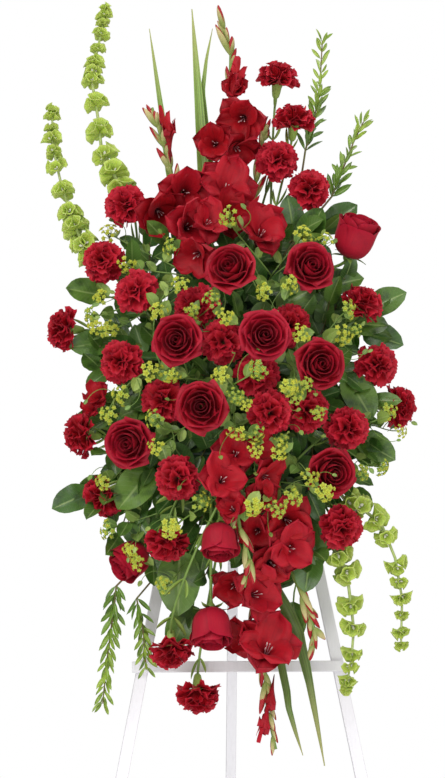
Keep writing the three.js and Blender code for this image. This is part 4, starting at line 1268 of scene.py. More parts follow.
def rose_petal(layer, base, share, middle, random):
    """A petal that wraps round the rose's axis, and rolls back along its edge."""
    _, reach, belly, top, wide, roll = layer
    reach, belly = reach + share * 3.5, belly + share * 2.5
    top = top + random.uniform(-1.6, 1.6) - share
    roll = roll * random.uniform(0.75, 1.3)
    phase, tuck = random.uniform(0, 6), random.uniform(0.4, 1.6)
    closed = base < ROSE_BASE
    open_out = ramp(reach, 8, 30) * (0.3 if closed else 1)
    shoulder = 1.25 if closed else 0.95

    def surface(u, v):
        point = 0.0 if closed else 0.03
        s = v * (1 - (point + 0.05) * 2 * np.abs(u) ** 3 + point * np.exp(-((u / 0.2) ** 2)) * v**4)
        radius = cubic(1.5, belly * shoulder, belly, reach, s)
        height = cubic(base, base - 1 + 3 * (1 - open_out), top * 0.3, top, s)
        lip = np.clip((v - 0.68) / 0.32, 0, 1)
        corner = np.clip((np.abs(u) - 0.35) / 0.65, 0, 1)
        curl = roll * (0.7 + (0.0 if closed else 0.5) * corner)
        radius = radius + curl * lip**1.7 + 2.2 * open_out * corner**2 * v * v + tuck * u
        radius = radius + (0.3 + 0.9 * open_out) * np.sin(3.2 * u + phase) * v * v
        height = height - curl * 0.8 * lip**2.8 - 3.0 * open_out * corner**2.4 * v * v
        height = height + 1.1 * open_out * np.sin(4 * u + phase * 2) * v * v
        half = wide / np.maximum(radius, wide / 2.2)
        angle = middle + u * half * (0.35 + 0.65 * ramp(v, 0, 0.55))
        return round_z(radius, angle, height)

    return surface


def rose_pattern(seed, layers, base):
    random = np.random.default_rng(seed)
    rose = Pattern()
    start = 0.0
    for number, layer in enumerate(layers):
        count = layer[0]
        start += pi / count * 1.2
        for k in range(count):
            middle = start + k / count * TURN + random.uniform(-0.16, 0.16)
            surface = rose_petal(layer, base, (k * 2 % count) / count, middle, random)
            # Inner layers take a low tone, which the petal finish darkens as painted shade in the
            # heart
            outer = CLOSED_TONE if base < ROSE_BASE else 1.0
            tone = HEART_SHADE_TONE + (outer - HEART_SHADE_TONE) * number / (len(layers) - 1)
            rose.sheet(surface, *ROSE_GRID, THIN, tone=tone)
    return rose


def sepals(count, start, end, half, drop, rows=5, columns=4):
    """Pointed green sepals that spread from under a bloom."""
    green = Pattern()
    for k in range(count):
        middle = k / count * TURN

        def surface(u, v, middle=middle):
            radius = start + (end - start) * v
            across = u * half * np.sin(np.pi * np.clip(v * 0.8 + 0.2, 0, 0.97))
            return beside(radius, across, drop(v) + np.abs(u) * 0.8, middle)

        green.sheet(surface, rows, columns, 0.7)
    return green


def rose_green():
    """The hip and sepals behind a rose."""
    green = Pattern().turned(
        [(0, -25), (2.6, -24), (3.2, -20), (6, -16), (7.2, -12), (6, -9), (0, -8)], 12,
    )
    green.place(sepals(5, 5, 27, 4.2, lambda v: -12 + 3 * v - 5 * v * v))
    return green


def carnation_petal(polar, middle, wide, random):
    """A fan on a narrow claw, with a ruffled and toothed edge, ending on a dome."""
    swell = random.uniform(0.8, 1.06)
    tip = DOME_ACROSS * sin(polar) * swell, DOME_FOOT + DOME_HIGH * cos(polar) * swell
    swing, swing_more = random.uniform(0, 6, 2)
    ruffle = random.uniform(4.4, 6.8)
    waves = random.uniform(3.4, 5.6)
    teeth = pi * CARNATION_GRID[1] / 2

    def surface(u, v):
        s = v * (1 - 0.16 * u * u) + 0.028 * np.cos(teeth * u) * v**8
        rest = 1 - s
        radius = 2 * rest * s * tip[0] * 0.35 + s * s * tip[0] + 1.5 * rest * rest
        bend = -14 + (tip[1] + 14) * 0.9
        height = -22 * rest * rest + 2 * rest * s * bend + s * s * tip[1]
        lift = ruffle * v * v * (np.sin(waves * u + swing) + 0.35 * np.sin(13 * u + swing_more))
        slope = atan2(tip[1] + 14, max(tip[0], 4))
        radius = radius - lift * sin(slope)
        height = height + lift * cos(slope)
        return beside(radius, u * (1.6 + wide * v**1.1), height, middle)

    return surface


def carnation_pattern(seed):
    random = np.random.default_rng(seed)
    bloom = Pattern()
    for i in range(CARNATION_PETALS):
        t = (i + 0.5) / CARNATION_PETALS
        polar = radians(6 + 106 * t**0.85 + random.uniform(-11, 11))
        middle = i * GOLDEN + random.uniform(-0.35, 0.35)
        wide = 13 + 9 * t + random.uniform(-3, 3)
        surface = carnation_petal(polar, middle, wide, random)
        # Inner petals take a low tone, which the petal finish darkens as painted shade in the heart
        bloom.sheet(surface, *CARNATION_GRID, THIN, tone=HEART_SHADE_TONE + (1 - HEART_SHADE_TONE) * t)
    return bloom


def carnation_green():
    """The long toothed calyx that holds a carnation's petals."""
    return Pattern().turned(
        [(0, -41), (3, -40), (5.4, -37), (6.8, -30), (7.6, -23), (8.4, -17, 1), (9.6, -13, 1),
         (6, -17), (0, -20)],
        15, lobes=5, wave=0.12,
    )


# A floret's tepals from the top one round: how long each is, and how far it stands forward
TEPALS = ((1.12, 0.3), (1.16, -0.05), (0.98, 0.1), (1.0, -0.25), (0.98, 0.1), (1.16, -0.05))


def tepal(middle, size, forward, outer, random):
    """A broad ruffled tepal of a floret whose mouth is 1 across and whose length is 1."""
    phase, other = random.uniform(0, 6, 2)
    rim = size * random.uniform(0.92, 1.08)
    roll = random.uniform(0.05, 0.34)
    twist = random.uniform(-0.24, 0.24)

    def surface(u, v):
        radius = cubic(0.06, 0.1, 0.42, rim, v)
        height = cubic(0.0, 0.5, 0.85, 0.92 + forward, v)
        half = 0.1 * (1 - v**6) + 0.84 * v**0.75 * np.sqrt(np.clip(1 - v**6, 0, 1))
        edge = u * u * v * v
        lip = np.clip((v - 0.7) / 0.3, 0, 1)
        height = height - roll * lip**2 + twist * u * v
        ruffle = 0.14 + 0.15 * np.sin(6 * u + phase) + 0.12 * np.sin(13 * v + other)
        fold = 0.08 * np.exp(-((u / 0.16) ** 2)) * v
        height = height + edge * ruffle - fold + 0.035 * np.sin(9 * u + other) * v * v
        radius = radius * (1 + 0.05 * np.sin(6 * u + other) * edge) + 0.02 * outer
        angle = middle + u * half / np.maximum(radius, 0.3)
        return round_z(radius, angle, height - 0.06 * outer)

    return surface


def floret_pattern(seed, spread):
    """Three inner tepals over three outer ones; the hood at the top is on +Y."""
    random = np.random.default_rng(seed)
    floret = Pattern()
    for k, (size, forward) in enumerate(TEPALS):
        middle = pi / 2 + k / 6 * TURN + random.uniform(-0.12, 0.12)
        outer = k % 2
        lean = forward + 0.4 * (1 - spread) + random.uniform(-0.08, 0.08)
        surface = tepal(middle, size * (0.82 + 0.18 * spread), lean, outer, random)
        # The outer tepals take a lower tone, which the petal finish darkens
        floret.sheet(surface, *FLORET_GRID, 0.02, tone=0.95 - 0.55 * outer)
    return floret


def pistil_pattern():
    """Three stamens and a split style in a floret's throat."""
    pistil = Pattern()
    thread = Pattern().turned([(0, 0.25), (0.014, 0.26), (0.011, 0.72), (0, 0.73)], 5)
    anther = Pattern().turned(
        [(0, 0.68), (0.022, 0.7), (0.026, 0.79), (0.014, 0.86), (0, 0.88)], 6,
    )
    for k in range(3):
        way = unit((0.18 * cos(2.1 * k), 0.18 * sin(2.1 * k), 1))
        pistil.place(thread, turn_to(way), tone=0.2)
        pistil.place(anther, turn_to(way), tone=1.0)
    style = Pattern().turned(
        [(0, 0.2), (0.014, 0.22), (0.012, 0.92), (0.024, 0.97), (0, 0.98)], 6,
    )
    pistil.place(style, at=(0.03, 0, 0), tone=0.6)
    return pistil


def bud_pattern():
    """A long bud between two leafy sheaths, 1 long and 1 in radius."""
    bud = Pattern().turned(
        [(0, 0), (0.55, 0.02), (0.95, 0.2), (1.0, 0.4), (0.92, 0.6), (0.66, 0.82), (0.3, 0.96),
         (0, 1)],
        10, tone=1.0,
    )
    for side in (-1, 1):
        def surface(u, v, side=side):
            wide = np.sin(np.pi * (0.12 + 0.86 * v)) ** 0.7
            angle = u * 1.3 * wide
            radius = (1.12 + 0.06 * side) * np.sin(np.pi * (0.1 + 0.8 * v)) ** 0.6
            long = 0.84 + 0.08 * side
            return side * radius * np.cos(angle), side * radius * np.sin(angle), v * long + 0.005

        bud.sheet(surface, 6, 5, 0.12, tone=0.0)
    return bud


# Bells: where whorls stand closer, their size there, and the least bell that shows its heart
HALF_WHORLS_FROM = 0.52
HALF_WHORL_SIZE = 0.8
BELL_WITH_HEART = 0.5
BELL_SIDES = 25
BELL_LOBES = 5


def bell_pattern():
    """A shell-like calyx with a thin lobed rim."""
    return Pattern().turned(
        [(0, 0), (1.6, 0.3), (3.2, 3.2), (5.2, 7.4, 0.4), (7.8, 12, 0.8), (10.9, 16.4, 1),
         (13.2, 18.4, 1.4), (12.7, 19, 1.4), (10, 16.2, 1), (6.9, 12, 0.8), (4.3, 7.6, 0.4),
         (2.4, 4.4), (0, 3.8)],
        BELL_SIDES, lobes=BELL_LOBES, wave=0.065, tone=0.3,
    )


def bell_heart():
    """The small pale flower and the four seeds in a bell."""
    heart = Pattern()
    seed = Pattern().turned([(0, -1.2), (1.1, -0.6), (1.2, 0.4), (0, 1.3)], 5, tone=0.2)
    for k in range(4):
        angle = k / 4 * TURN
        heart.place(seed, at=(1.5 * cos(angle), 1.5 * sin(angle), 4.2))
    petal = sepals(2, 0.5, 4.6, 2.4, lambda v: 5.5 + 5 * v, rows=3, columns=2)
    heart.place(petal, tone=1.0)
    return heart


def umbel_pattern(seed):
    """Short rays, each with five bracts and a cluster of tiny florets at its end."""
    random = np.random.default_rng(seed)
    bract = sepals(5, 0.5, 5.4, 2.3, lambda v: 0.6 + 2.4 * v - 1.6 * v * v, rows=3, columns=2)
    grain = Pattern().turned([(0, -0.6), (0.85, 0.0), (0.6, 0.8), (0, 0.95)], 4, tone=1.0)
    head = Pattern()
    head.place(bract, tone=0.3)
    for k in range(HEAD_FLORETS):
        angle, far = k * GOLDEN, GRAIN_PITCH * sqrt(k)
        head.place(grain, at=(far * cos(angle), far * sin(angle), 2.6))
    umbel = Pattern()
    for k in range(UMBEL_HEADS):
        angle, far = k * GOLDEN + random.uniform(-0.3, 0.3), RAY_PITCH * sqrt(k)
        drop = 2 - 0.03 * far * far + random.uniform(-3, 2)
        end = np.array([far * cos(angle), far * sin(angle), drop])
        way = unit(end - (0, 0, -16))
        length = norm(end - RAY_FOOT)
        ray = Pattern().turned(
            [(0, 0), (0.55, 0.1), (0.5, length), (0, length + 0.2)], 4, tone=0.0,
        )
        umbel.place(ray, turn_to(way), RAY_FOOT)
        umbel.place(head, turn_to(way, spin=random.uniform(0, 6)), end, random.uniform(0.65, 1.15))
    return umbel


def leaf_pattern(outline, rows, columns, cup, bend, wave, thick):
    """A leaf 1 long and 1 wide, with its upper face to +Y."""
    def surface(u, v):
        half = 0.5 * np.maximum(outline(v), 0.03)
        fold = cup * np.abs(u) ** 1.4 * half * 2 - 0.035 * np.exp(-((u / 0.16) ** 2))
        ripple = wave * np.sin(16 * v + 1.5 * np.sign(u)) * u * u * half
        return -u * half, fold + ripple - bend * (v - 0.15) ** 2, v + 0 * u

    return Pattern().sheet(surface, rows, columns, thick)


def ovate(v):
    return 2.0 * v**0.5 * (1 - v) ** 0.62 * (1 + 0.1 * v)


def lance(v):
    return 1.9 * v**0.75 * (1 - v) ** 0.72


def narrow_leaf(bend):
    return leaf_pattern(lance, 8, 2, 2.0, bend, 0.0, 0.02)


def salal_patterns(rows=10, columns=6):
    return [
        leaf_pattern(ovate, rows, columns, 0.16, bend, wave, 0.012)
        for bend, wave in ((0.1, 0.05), (0.25, 0.1), (-0.05, 0.08), (0.4, 0.06))
    ]


def myrtle_patterns():
    return [leaf_pattern(lance, 5, 4, 0.3, bend, 0.0, 0.03) for bend in (0.0, 0.15, -0.12)]


# What a user can change


class SpraySizes(bpy.types.PropertyGroup):
    bloom_scale: bpy.props.FloatProperty(
        name="Bloom scale", description="How large blooms are against the frame's",
        default=1.0, min=0.8, max=1.05, subtype="FACTOR",
    )
    stem_sides: bpy.props.IntProperty(
        name="Stem sides", description="Sides of a round stem", default=8, min=4, max=16,
    )
    bells_in_whorl: bpy.props.IntProperty(
        name="Bells in a whorl", description="Green bells round each joint of a spike",
        default=6, min=3, max=8,
    )
    myrtle_pairs: bpy.props.IntProperty(
        name="Myrtle pairs", description="Leaf pairs for each pair of the frame's",
        default=3, min=1, max=4,
    )
    sprigs: bpy.props.IntProperty(
        name="Filling sprigs", description="Leafy sprigs that hide the foam",
        default=96, min=0, max=120,
    )
    edge: bpy.props.FloatProperty(
        name="Wood edge", description="How far the easel's edges are eased",
        default=0.0012, min=0.0, max=0.004, unit="LENGTH",
    )
    floor: bpy.props.FloatProperty(
        name="Floor radius", description="Radius of the pale floor",
        default=2.4, min=1.0, max=2.9, unit="LENGTH",
    )


def colour_property(title, description, code):
    return bpy.props.FloatVectorProperty(
        name=title, description=description, default=linear(code), subtype="COLOR",
        size=3, min=0.0, max=1.0,
    )


class SprayColours(bpy.types.PropertyGroup):
    rose: colour_property("Rose", "Rose petals", "9A0C1C")
    carnation: colour_property("Carnation", "Carnation petals", "B0101E")
    gladiolus: colour_property("Gladiolus", "Gladiolus tepals", "A60A18")
    bell: colour_property("Bells", "Bells of Ireland", "B2C84C")
    umbel: colour_property("Bupleurum", "Bupleurum bracts and florets", "B4C040")
    salal: colour_property("Salal", "Broad leaves", "3E6526")
    myrtle: colour_property("Myrtle", "Narrow leaves", "62882A")
    blade: colour_property("Blades", "Gladiolus leaf blades", "8CAC4C")
    stem: colour_property("Stems", "Flower stems", "6E8B3D")
    wood: colour_property("Paint", "White paint of the easel", "F6F5F8")
    holder: colour_property("Holder", "Green plastic of tray and cage", "1F3B22")
    foam: colour_property("Foam", "Wet floral foam", "2B4A26")


def sizes():
    return bpy.context.scene.spray_sizes


def colour(title):
    return tuple(getattr(bpy.context.scene.spray_colours, title))


@functools.cache
def green_stems():
    return stem_finish("green stems", colour("stem"), shade(colour("stem"), 1.35))


def heads_of(names, seed=0):
    """Each bunch's name and heads, with places to set patterns on."""
    for number, name in enumerate(names):
        heads = [head for head, _, _ in layout().bunches[name]["stems"]]
        yield name, heads, Places(seed + number)


def spikes_of(names, seed):
    """Each spike's name and lay, with places to set patterns on."""
    for number, name in enumerate(names):
        yield name, layout().spikes[name], Places(seed + number)


def stem_lines(names, steps=12):
    """The line of every stem of bunches, after the place in the foam where it stands."""
    for name in names:
        bunch = layout().bunches[name]
        for _, _, handles in bunch["stems"]:
            yield bunch["root"], bezier(*handles, steps)


def bunch_stems(stems, names, thick):
    """The stems of bunches, from deep in the foam to the foot of each bloom."""
    for root, line in stem_lines(names, 14):
        stems.add([root, *line], thick)


# Operators, in the order that the pieces are made


def ease_wood(node, finish):
    mesh = frame["nodes"][node].data.copy()
    wood = bmesh.new()
    wood.from_mesh(mesh)
    bmesh.ops.remove_doubles(wood, verts=wood.verts, dist=1e-5)
    bmesh.ops.dissolve_limit(
        wood, angle_limit=radians(1), verts=wood.verts, edges=wood.edges,
    )
    wood.to_mesh(mesh)
    wood.free()
    mesh.materials.clear()
    mesh.materials.append(finish)
    piece = shown(f"{node}_painted", mesh)
    eased = piece.modifiers.new("Eased edges", "BEVEL")
    eased.width = sizes().edge
    eased.segments = 2
    eased.limit_method = "ANGLE"
    eased.harden_normals = True
    ride(piece, "easel_wood", node, body="rear_leg" if node == "rear_leg" else STAND)


class SPRAY_OT_easel(bpy.types.Operator):
    """Rebuild the easel's wood with eased edges and brushed white paint"""

    bl_idname = "spray.easel"
    bl_label = "Painted easel"

    def execute(self, context):
        paint = Finish("white paint on wood", colour("wood"), 0.42, Coat_Weight=0.15,
                       Coat_Roughness=0.3)
        grain = paint.noise(18.0, 5.0, (14, 14, 1))
        paint.lay(shade(colour("wood"), 0.9), paint.span(grain, 0.5, 0.7), 0.5)
        paint.lay("D8D2DA", paint.noise(5.0, 2.0), 0.5)
        paint.raise_by(grain)
        white = paint.done(0.0003)
        for node in ("leg_left", "leg_right", "crossbar", "head_block", "rear_leg"):
            ease_wood(node, white)
        return {"FINISHED"}


class SPRAY_OT_holder(bpy.types.Operator):
    """Finish the foam, its tray, cage and ties, and the easel's hinge pin"""

    bl_idname = "spray.holder"
    bl_label = "Foam and holder"

    def execute(self, context):
        foam = Finish("wet floral foam", colour("foam"), 0.95)
        cells = foam.noise(1400.0, 2.0)
        foam.lay(shade(colour("foam"), 0.45), foam.span(cells, 0.5, 0.7))
        foam.lay(shade(colour("foam"), 1.5), foam.noise(40.0, 4.0), 0.5)
        foam.raise_by(cells)
        plastic = Finish("moulded green plastic", colour("holder"), 0.38)
        worn = plastic.span(plastic.noise(90.0, 3.0), 0.45, 0.75)
        plastic.lay(shade(colour("holder"), 1.4), worn)
        plastic.raise_by(plastic.noise(900.0, 2.0))
        zinc = Finish("zinc plated steel", "A9ADB0", 0.3, Metallic=1.0)
        zinc.lay("7E8488", zinc.span(zinc.noise(220.0, 4.0, (1, 1, 0.1)), 0.4, 0.8))
        zinc.raise_by(zinc.noise(1500.0, 2.0))
        dressed = {"foam_block": foam.done(0.0015), "hinge_pin": zinc.done(0.0001)}
        green = plastic.done(0.0002)
        for title, node in frame["nodes"].items():
            finish = green if title.startswith(("holder", "tie")) else dressed.get(title)
            if finish:
                node.data.materials.clear()
                node.data.materials.append(finish)
        return {"FINISHED"}


def bloom_bunches(bunches, patterns, pick, finish, slot, scale=1.0):
    """One piece of blooms for each bunch's node."""
    collection = collection_of(f"{slot}_patterns", patterns)
    for name, heads, places in heads_of(bunches, seed=1):
        for head in heads:
            turn = turn_to(head.face, spin=places.random.uniform(0, TURN))
            places.add(head.at, turn, head.size * scale, pick(head, places.random))
        set_out(f"{name}_blooms", places, collection, finish, slot, name)
    clear(collection)


def backs(title, bunches, pattern, finish, slot):
    """The green behind every bloom of a kind, in one piece."""
    collection = collection_of(f"{title}_patterns", [pattern])
    places = Places(seed=5)
    for _, heads, _ in heads_of(bunches):
        for head in heads:
            drop = ROSE_BASE - CLOSED_BASE if head.kind == "closed_rose" else 0
            at = head.at - head.face * drop * head.size
            places.add(at, places.spun(head.face), head.size)
    set_out(title, places, collection, finish, slot)
    clear(collection)


class SPRAY_OT_roses(bpy.types.Operator):
    """Open the roses on their stems, each with its hip and sepals"""

    bl_idname = "spray.roses"
    bl_label = "Roses"

    def execute(self, context):
        velvet = petal_finish("rose petals", colour("rose"), 0.2, "CC1E44", 0.6, 0.14)
        seeds = range(11, 11 + ROSE_KINDS)
        patterns = [rose_pattern(seed, ROSE_LAYERS, ROSE_BASE) for seed in seeds]
        patterns.append(rose_pattern(14, CLOSED_LAYERS, CLOSED_BASE))

        def pick(head, random):
            return CLOSED_ROSE if head.kind == "closed_rose" else random.integers(ROSE_KINDS)

        bloom_bunches(ROSES, patterns, pick, velvet, "petal_rose", sizes().bloom_scale)
        backs("rose_sepals", ROSES, rose_green(), green_stems(), "stem_and_blade")
        return {"FINISHED"}


def narrow_leaves(finish):
    """Slim leaves in pairs that curl away from the joints of the carnation stems."""
    collection = collection_of("narrow_patterns", [narrow_leaf(bend) for bend in (0.5, -0.3)], 1.0)
    places = Places(seed=22)
    random = places.random
    for _, line in stem_lines(CARNATIONS):
        for share in STEM_JOINTS:
            centre, along, side, other = frame_on(line, share)
            spin = random.uniform(0, pi)
            for sign in (-1, 1):
                out = sign * way_round(side, other, spin)
                length = random.uniform(*NARROW_LENGTHS)
                way = along + out * random.uniform(0.3, 0.8)
                places.leaf(centre, way, out, 0.1 * length, length, random.integers(2))
    set_out("carnation_leaves", places, collection, finish, "stem_and_blade")
    clear(collection)


class SPRAY_OT_carnations(bpy.types.Operator):
    """Ruffle the carnations and set each in its calyx"""

    bl_idname = "spray.carnations"
    bl_label = "Carnations"

    def execute(self, context):
        # The edge sets a stronger painted highlight on the carnations' petal lips
        frilled = petal_finish(
            "carnation petals", colour("carnation"), 0.22, "DA2A44", 0.7, 0.12, edge=0.8,
        )
        patterns = [carnation_pattern(seed) for seed in range(21, 21 + CARNATION_KINDS)]
        bloom_bunches(
            CARNATIONS, patterns, lambda head, random: random.integers(CARNATION_KINDS),
            frilled, "petal_carnation", sizes().bloom_scale,
        )
        pale = stem_finish("carnation calyxes", "8DAA48", "A6BE62")
        backs("carnation_calyxes", CARNATIONS, carnation_green(), pale, "stem_and_blade")
        narrow_leaves(pale)
        return {"FINISHED"}


def more_buds(line, places):
    """Long buds in two ranks that lie along the top of a stalk and shrink to its tip."""
    random = places.random
    length = norm(np.diff(line, axis=0), axis=1).sum()
    count = int((1 - BUDS_FROM) * length / BUD_PITCH)
    for n in range(count):
        share = BUDS_FROM + (1 - BUDS_FROM) * n / count
        centre, along, side, _ = frame_on(line, share)
        sign = -1 if n % 2 else 1
        aside = side * sign * random.uniform(0.12, 0.3)
        way = unit(along + aside + random.uniform(-0.06, 0.06, 3))
        long = (TOP_BUD_LONG - TOP_BUD_SHRINK * n / count) * random.uniform(0.9, 1.1)
        long = min(long, (1 - share) * length + TOP_BUD_PAST)
        wide = (TOP_BUD_WIDE - TOP_BUD_TAPER * n / count) * MM
        places.add(centre, places.spun(way), (wide, wide, long * MM))


class SPRAY_OT_gladioli(bpy.types.Operator):
    """Open the florets along the gladiolus spikes, with buds towards each tip"""

    bl_idname = "spray.gladioli"
    bl_label = "Gladioli"

    def execute(self, context):
        red = colour("gladiolus")
        silk = petal_finish("gladiolus tepals", red, 0.16, "D22440", 0.6, 0.14)
        shapes = [floret_pattern(31 + n, spread) for n, spread in enumerate(FLORET_SPREADS)]
        florets = collection_of("floret_patterns", shapes, 1.0)
        pistils = collection_of("pistil_patterns", [pistil_pattern()], 1.0)
        buds = collection_of("bud_patterns", [bud_pattern()], 1.0)
        all_pistils, all_buds = Places(seed=3), Places(seed=4)
        stalks, tubes = Stems(), Stems()
        for name, spike, places in spikes_of(GLADIOLI, seed=40):
            for base, mouth, face, radius in spike["florets"]:
                tilted = unit(face + places.random.uniform(-0.5, 0.5, 3))
                turn = turn_to(tilted, spin=places.random.uniform(-0.5, 0.5))
                throat = mouth - tilted * radius * FLORET_DEPTH
                grow = np.array([1, 1, FLORET_DEPTH]) * radius * FLORET_OVERLAP * MM
                places.add(throat, turn, grow, places.random.integers(len(shapes)))
                all_pistils.add(throat, turn, grow * 0.9)
                bend = throat - face * radius * 0.5
                tube = bezier(base, base * 0.4 + bend * 0.6, bend, throat, TUBE_STEPS)
                tubes.add(tube, 2.2, radius * 0.11)
            onward = unit(spike["line"][-1] - spike["line"][len(spike["line"]) // 2])
            for base, way, length in spike["buds"]:
                grow = np.array([BUD_RADIUS, BUD_RADIUS, length * BUD_LONG]) * MM
                all_buds.add(base, all_buds.spun(way + BUD_ONWARD * onward), grow)
            for base, tip, radius in HALF_OPEN.get(name, ()):
                base, tip = place(base), place(tip)
                grow = np.array([radius, radius, norm(tip - base)]) * MM
                places.add(base, places.spun(tip - base), grow, HALF_OPEN_FLORET)
            more_buds(spike["line"], all_buds)
            if spike["florets"] or name in HALF_OPEN:
                set_out(f"{name}_florets", places, florets, silk, "petal_gladiolus", name)
            stalks.add([spike["root"], *spike["line"]], *GLADIOLUS_STALK)
        side_bloom, side_face = Places(seed=48), unit(SIDE_FACE)
        for spot, radius, pick in SIDE_BLOOMS:
            line = bent_stem(place(spot), side_face, SIDE_BACK)
            stalks.add(line, SIDE_STALK)
            side_bloom.add(line[-1], turn_to(side_face, spin=0.4 * pick), radius * MM, pick)
        set_out("side_bloom_tepals", side_bloom, florets, silk, "petal_gladiolus")
        set_out("gladiolus_pistils", all_pistils, pistils, pistil_finish(), "petal_gladiolus")
        set_out("gladiolus_buds", all_buds, buds, bud_finish(red), "petal_gladiolus",
                "gladiolus_low_right")
        stem_piece("gladiolus_stalks", stalks, green_stems(), "stem_and_blade", sides=10)
        stem_piece("gladiolus_tubes", tubes, silk, "petal_gladiolus")
        for collection in (florets, pistils, buds):
            clear(collection)
        return {"FINISHED"}


def pistil_finish():
    pale = Finish("stamens and styles", "B9707C", 0.6)
    pale.lay("E2C6C0", pale.attribute("tone"))
    pale.lay("B7A0B8", pale.noise(900.0), 0.3)
    return pale.done()


def bud_finish(red):
    """Sheaths are olive green with a cream tip, and the bud shows red in the slit between them."""
    bud = Finish("gladiolus buds", "8A9848", 0.5)
    _, along = bud.map_parts()
    bud.lay("B4B872", bud.span(bud.noise(120.0, 3.0), 0.45, 0.75), 0.6)
    bud.lay("CDBB84", bud.span(along, 0.3, 0.85))
    bud.lay(red, bud.span(along, 0.3, 0.5), bud.attribute("tone"))
    bud.raise_by(bud.noise(40.0, 2.0, (1.0, 0.06, 1.0), mapped=True))
    return bud.done(0.0006)


def bell_whorls(spike, random):
    """Wide whorls of open bells low down, and small ones close together at the tip."""
    line, bare, rings = spike["line"], spike["bare"], spike["whorls"]
    shares = [float(w) for w in range(rings)]
    shares += [w + 0.5 for w in range(rings) if w > rings * HALF_WHORLS_FROM]
    for number, share in enumerate(sorted(shares)):
        onward = bare + (1 - bare) * share / (rings - WHORL_TOP)
        centre, along, side, other = frame_on(line, onward)
        size = (1.04 - 0.5 * (share / rings) ** 1.4) * (HALF_WHORL_SIZE if share % 1 else 1)
        count = sizes().bells_in_whorl
        for k in range(count):
            angle = k / count * TURN + number * 0.9 + random.uniform(-0.2, 0.2)
            way = way_round(side, other, angle)
            lean = 0.45 + random.uniform(-0.5, 0.4) + 0.6 * (share / rings) ** 3
            turn = turn_to(way + along * lean, spin=random.uniform(0, 6))
            at = centre + way * 0.8 + along * random.uniform(-4, 4)
            yield at, turn, size * random.uniform(0.85, 1.05)


class SPRAY_OT_bells(bpy.types.Operator):
    """Set whorls of green bells along their spikes"""

    bl_idname = "spray.bells"
    bl_label = "Bells of Ireland"

    def execute(self, context):
        cups = collection_of("bell_patterns", [bell_pattern()])
        hearts = collection_of("heart_patterns", [bell_heart()])
        inner, stalks = Places(seed=6), Stems()
        for name, spike, places in spikes_of(BELLS, seed=60):
            for at, turn, size in bell_whorls(spike, places.random):
                places.add(at, turn, size)
                if size > BELL_WITH_HEART:
                    inner.add(at, turn, size)
            set_out(f"{name}_bells", places, cups, bell_finish(), "bell_calyx", name)
            stalks.add([spike["root"], *spike["line"]], *BELL_STALK)
        set_out("bell_hearts", inner, hearts, heart_finish(), "bell_calyx")
        pale = stem_finish("bell stalks", "A9BC6C", "C2CC8C")
        stem_piece("bell_stalks", stalks, pale, "stem_and_blade")
        clear(cups)
        clear(hearts)
        return {"FINISHED"}


@functools.cache
def bell_finish():
    """Lime shells with a fine net of paler veins, darker towards the foot, painted shade inside the
    cup, and a pale rim that is partly painted highlight.
    """
    lime = colour("bell")
    bell = Finish(
        "bell calyxes", lime, 0.5, Subsurface_Weight=0.15, Subsurface_Radius=(0.5, 1.0, 0.2),
        Subsurface_Scale=0.003,
    )
    _, along = bell.map_parts()
    bell.lay(shade(lime, 0.6), bell.span(along, 0.3, 0.0), 0.6)
    # Painted shade inside the cup, over the second half of the map
    bell.lay(shade(lime, 0.5), bell.span(along, 0.62, 1.0), 0.7)
    # A pale band at the rim: partly the calyx's own thin edge, partly painted highlight
    rim = bell.math("MULTIPLY", bell.span(along, 0.36, 0.5), bell.span(along, 0.64, 0.54))
    bell.lay(between(lime, "E4EDA0", 0.6), rim, 0.8)
    net = bell.add("ShaderNodeTexVoronoi", {
        "Vector": bell.spot((22.0, 7.0, 1.0), mapped=True), "Scale": 1.0,
    }, feature="DISTANCE_TO_EDGE").outputs["Distance"]
    vein = bell.span(net, 0.08, 0.0)
    bell.lay("C9D98A", vein, 0.45)
    bell.lay(shade(lime, 1.35), bell.attribute("tint"), 0.35)
    bell.raise_by(vein)
    return bell.done(0.0004)


def heart_finish():
    heart = Finish("bell hearts", "6F8F3A", 0.6)
    heart.lay("EDEBDD", heart.attribute("tone"))
    heart.lay("C9B9CF", heart.noise(700.0), 0.3)
    return heart.done()


# Umbels that only fill in between those of the frame: across, height and distance in front
MORE_UMBELS = [
    (-224, 1194, 100), (-80, 1214, 200), (164, 1188, 150), (-34, 1206, 230), (66, 1092, 225),
    (84, 1108, 220), (102, 1066, 200), (-20, 1092, 235), (-6, 1080, 230), (236, 1038, 80),
    (-210, 964, 120), (-170, 864, 125), (-162, 848, 125), (-134, 1018, 190), (8, 1014, 245),
    (-120, 816, 130), (49, 1026, 200), (40, 930, 220), (90, 974, 190), (174, 978, 120),
]


ROUND_JOINTS = (0.4, 0.58, 0.74, 0.88)
SHOOT_REACH = (34, 52)
# How loose stems stand in the foam: how deep, and where on it for a target far off
DEEP_ROOT = 25
FOAM_LEAN = 0.45
FOAM_WITHIN = 0.8
LOOSE_HANDLE = 45


def foam_point(target):
    """Where a stem that goes to a target leaves the foam, and the way out there."""
    inside = HOLDER_TURN.T @ (np.asarray(target, float) - HOLDER_AT)
    inside[1] += FOAM_FRONT / 2
    half = np.array([FOAM_HALF_WIDTH, FOAM_FRONT / 2, FOAM_HALF_HEIGHT])
    reach = np.abs(inside) / half
    axis = int(np.argmax(reach))
    way = np.zeros(3)
    way[axis] = copysign(1, inside[axis])
    spot = np.clip(inside * FOAM_LEAN, -half * FOAM_WITHIN, half * FOAM_WITHIN)
    spot[axis] = way[axis] * half[axis]
    spot[1] -= FOAM_FRONT / 2
    return HOLDER_TURN @ spot + HOLDER_AT, HOLDER_TURN @ way


def bent_stem(target, face, back, steps=12):
    """A stem from inside the foam that ends behind a target."""
    start, out = foam_point(target)
    foot = np.asarray(target, float) - np.asarray(face) * back
    span = norm(foot - start)
    handle = foot - np.asarray(face) * min(span * FOOT_SHARE, LOOSE_HANDLE)
    line = bezier(start, start + out * span * 0.4, handle, foot, steps)
    return np.vstack([start - out * DEEP_ROOT, line])


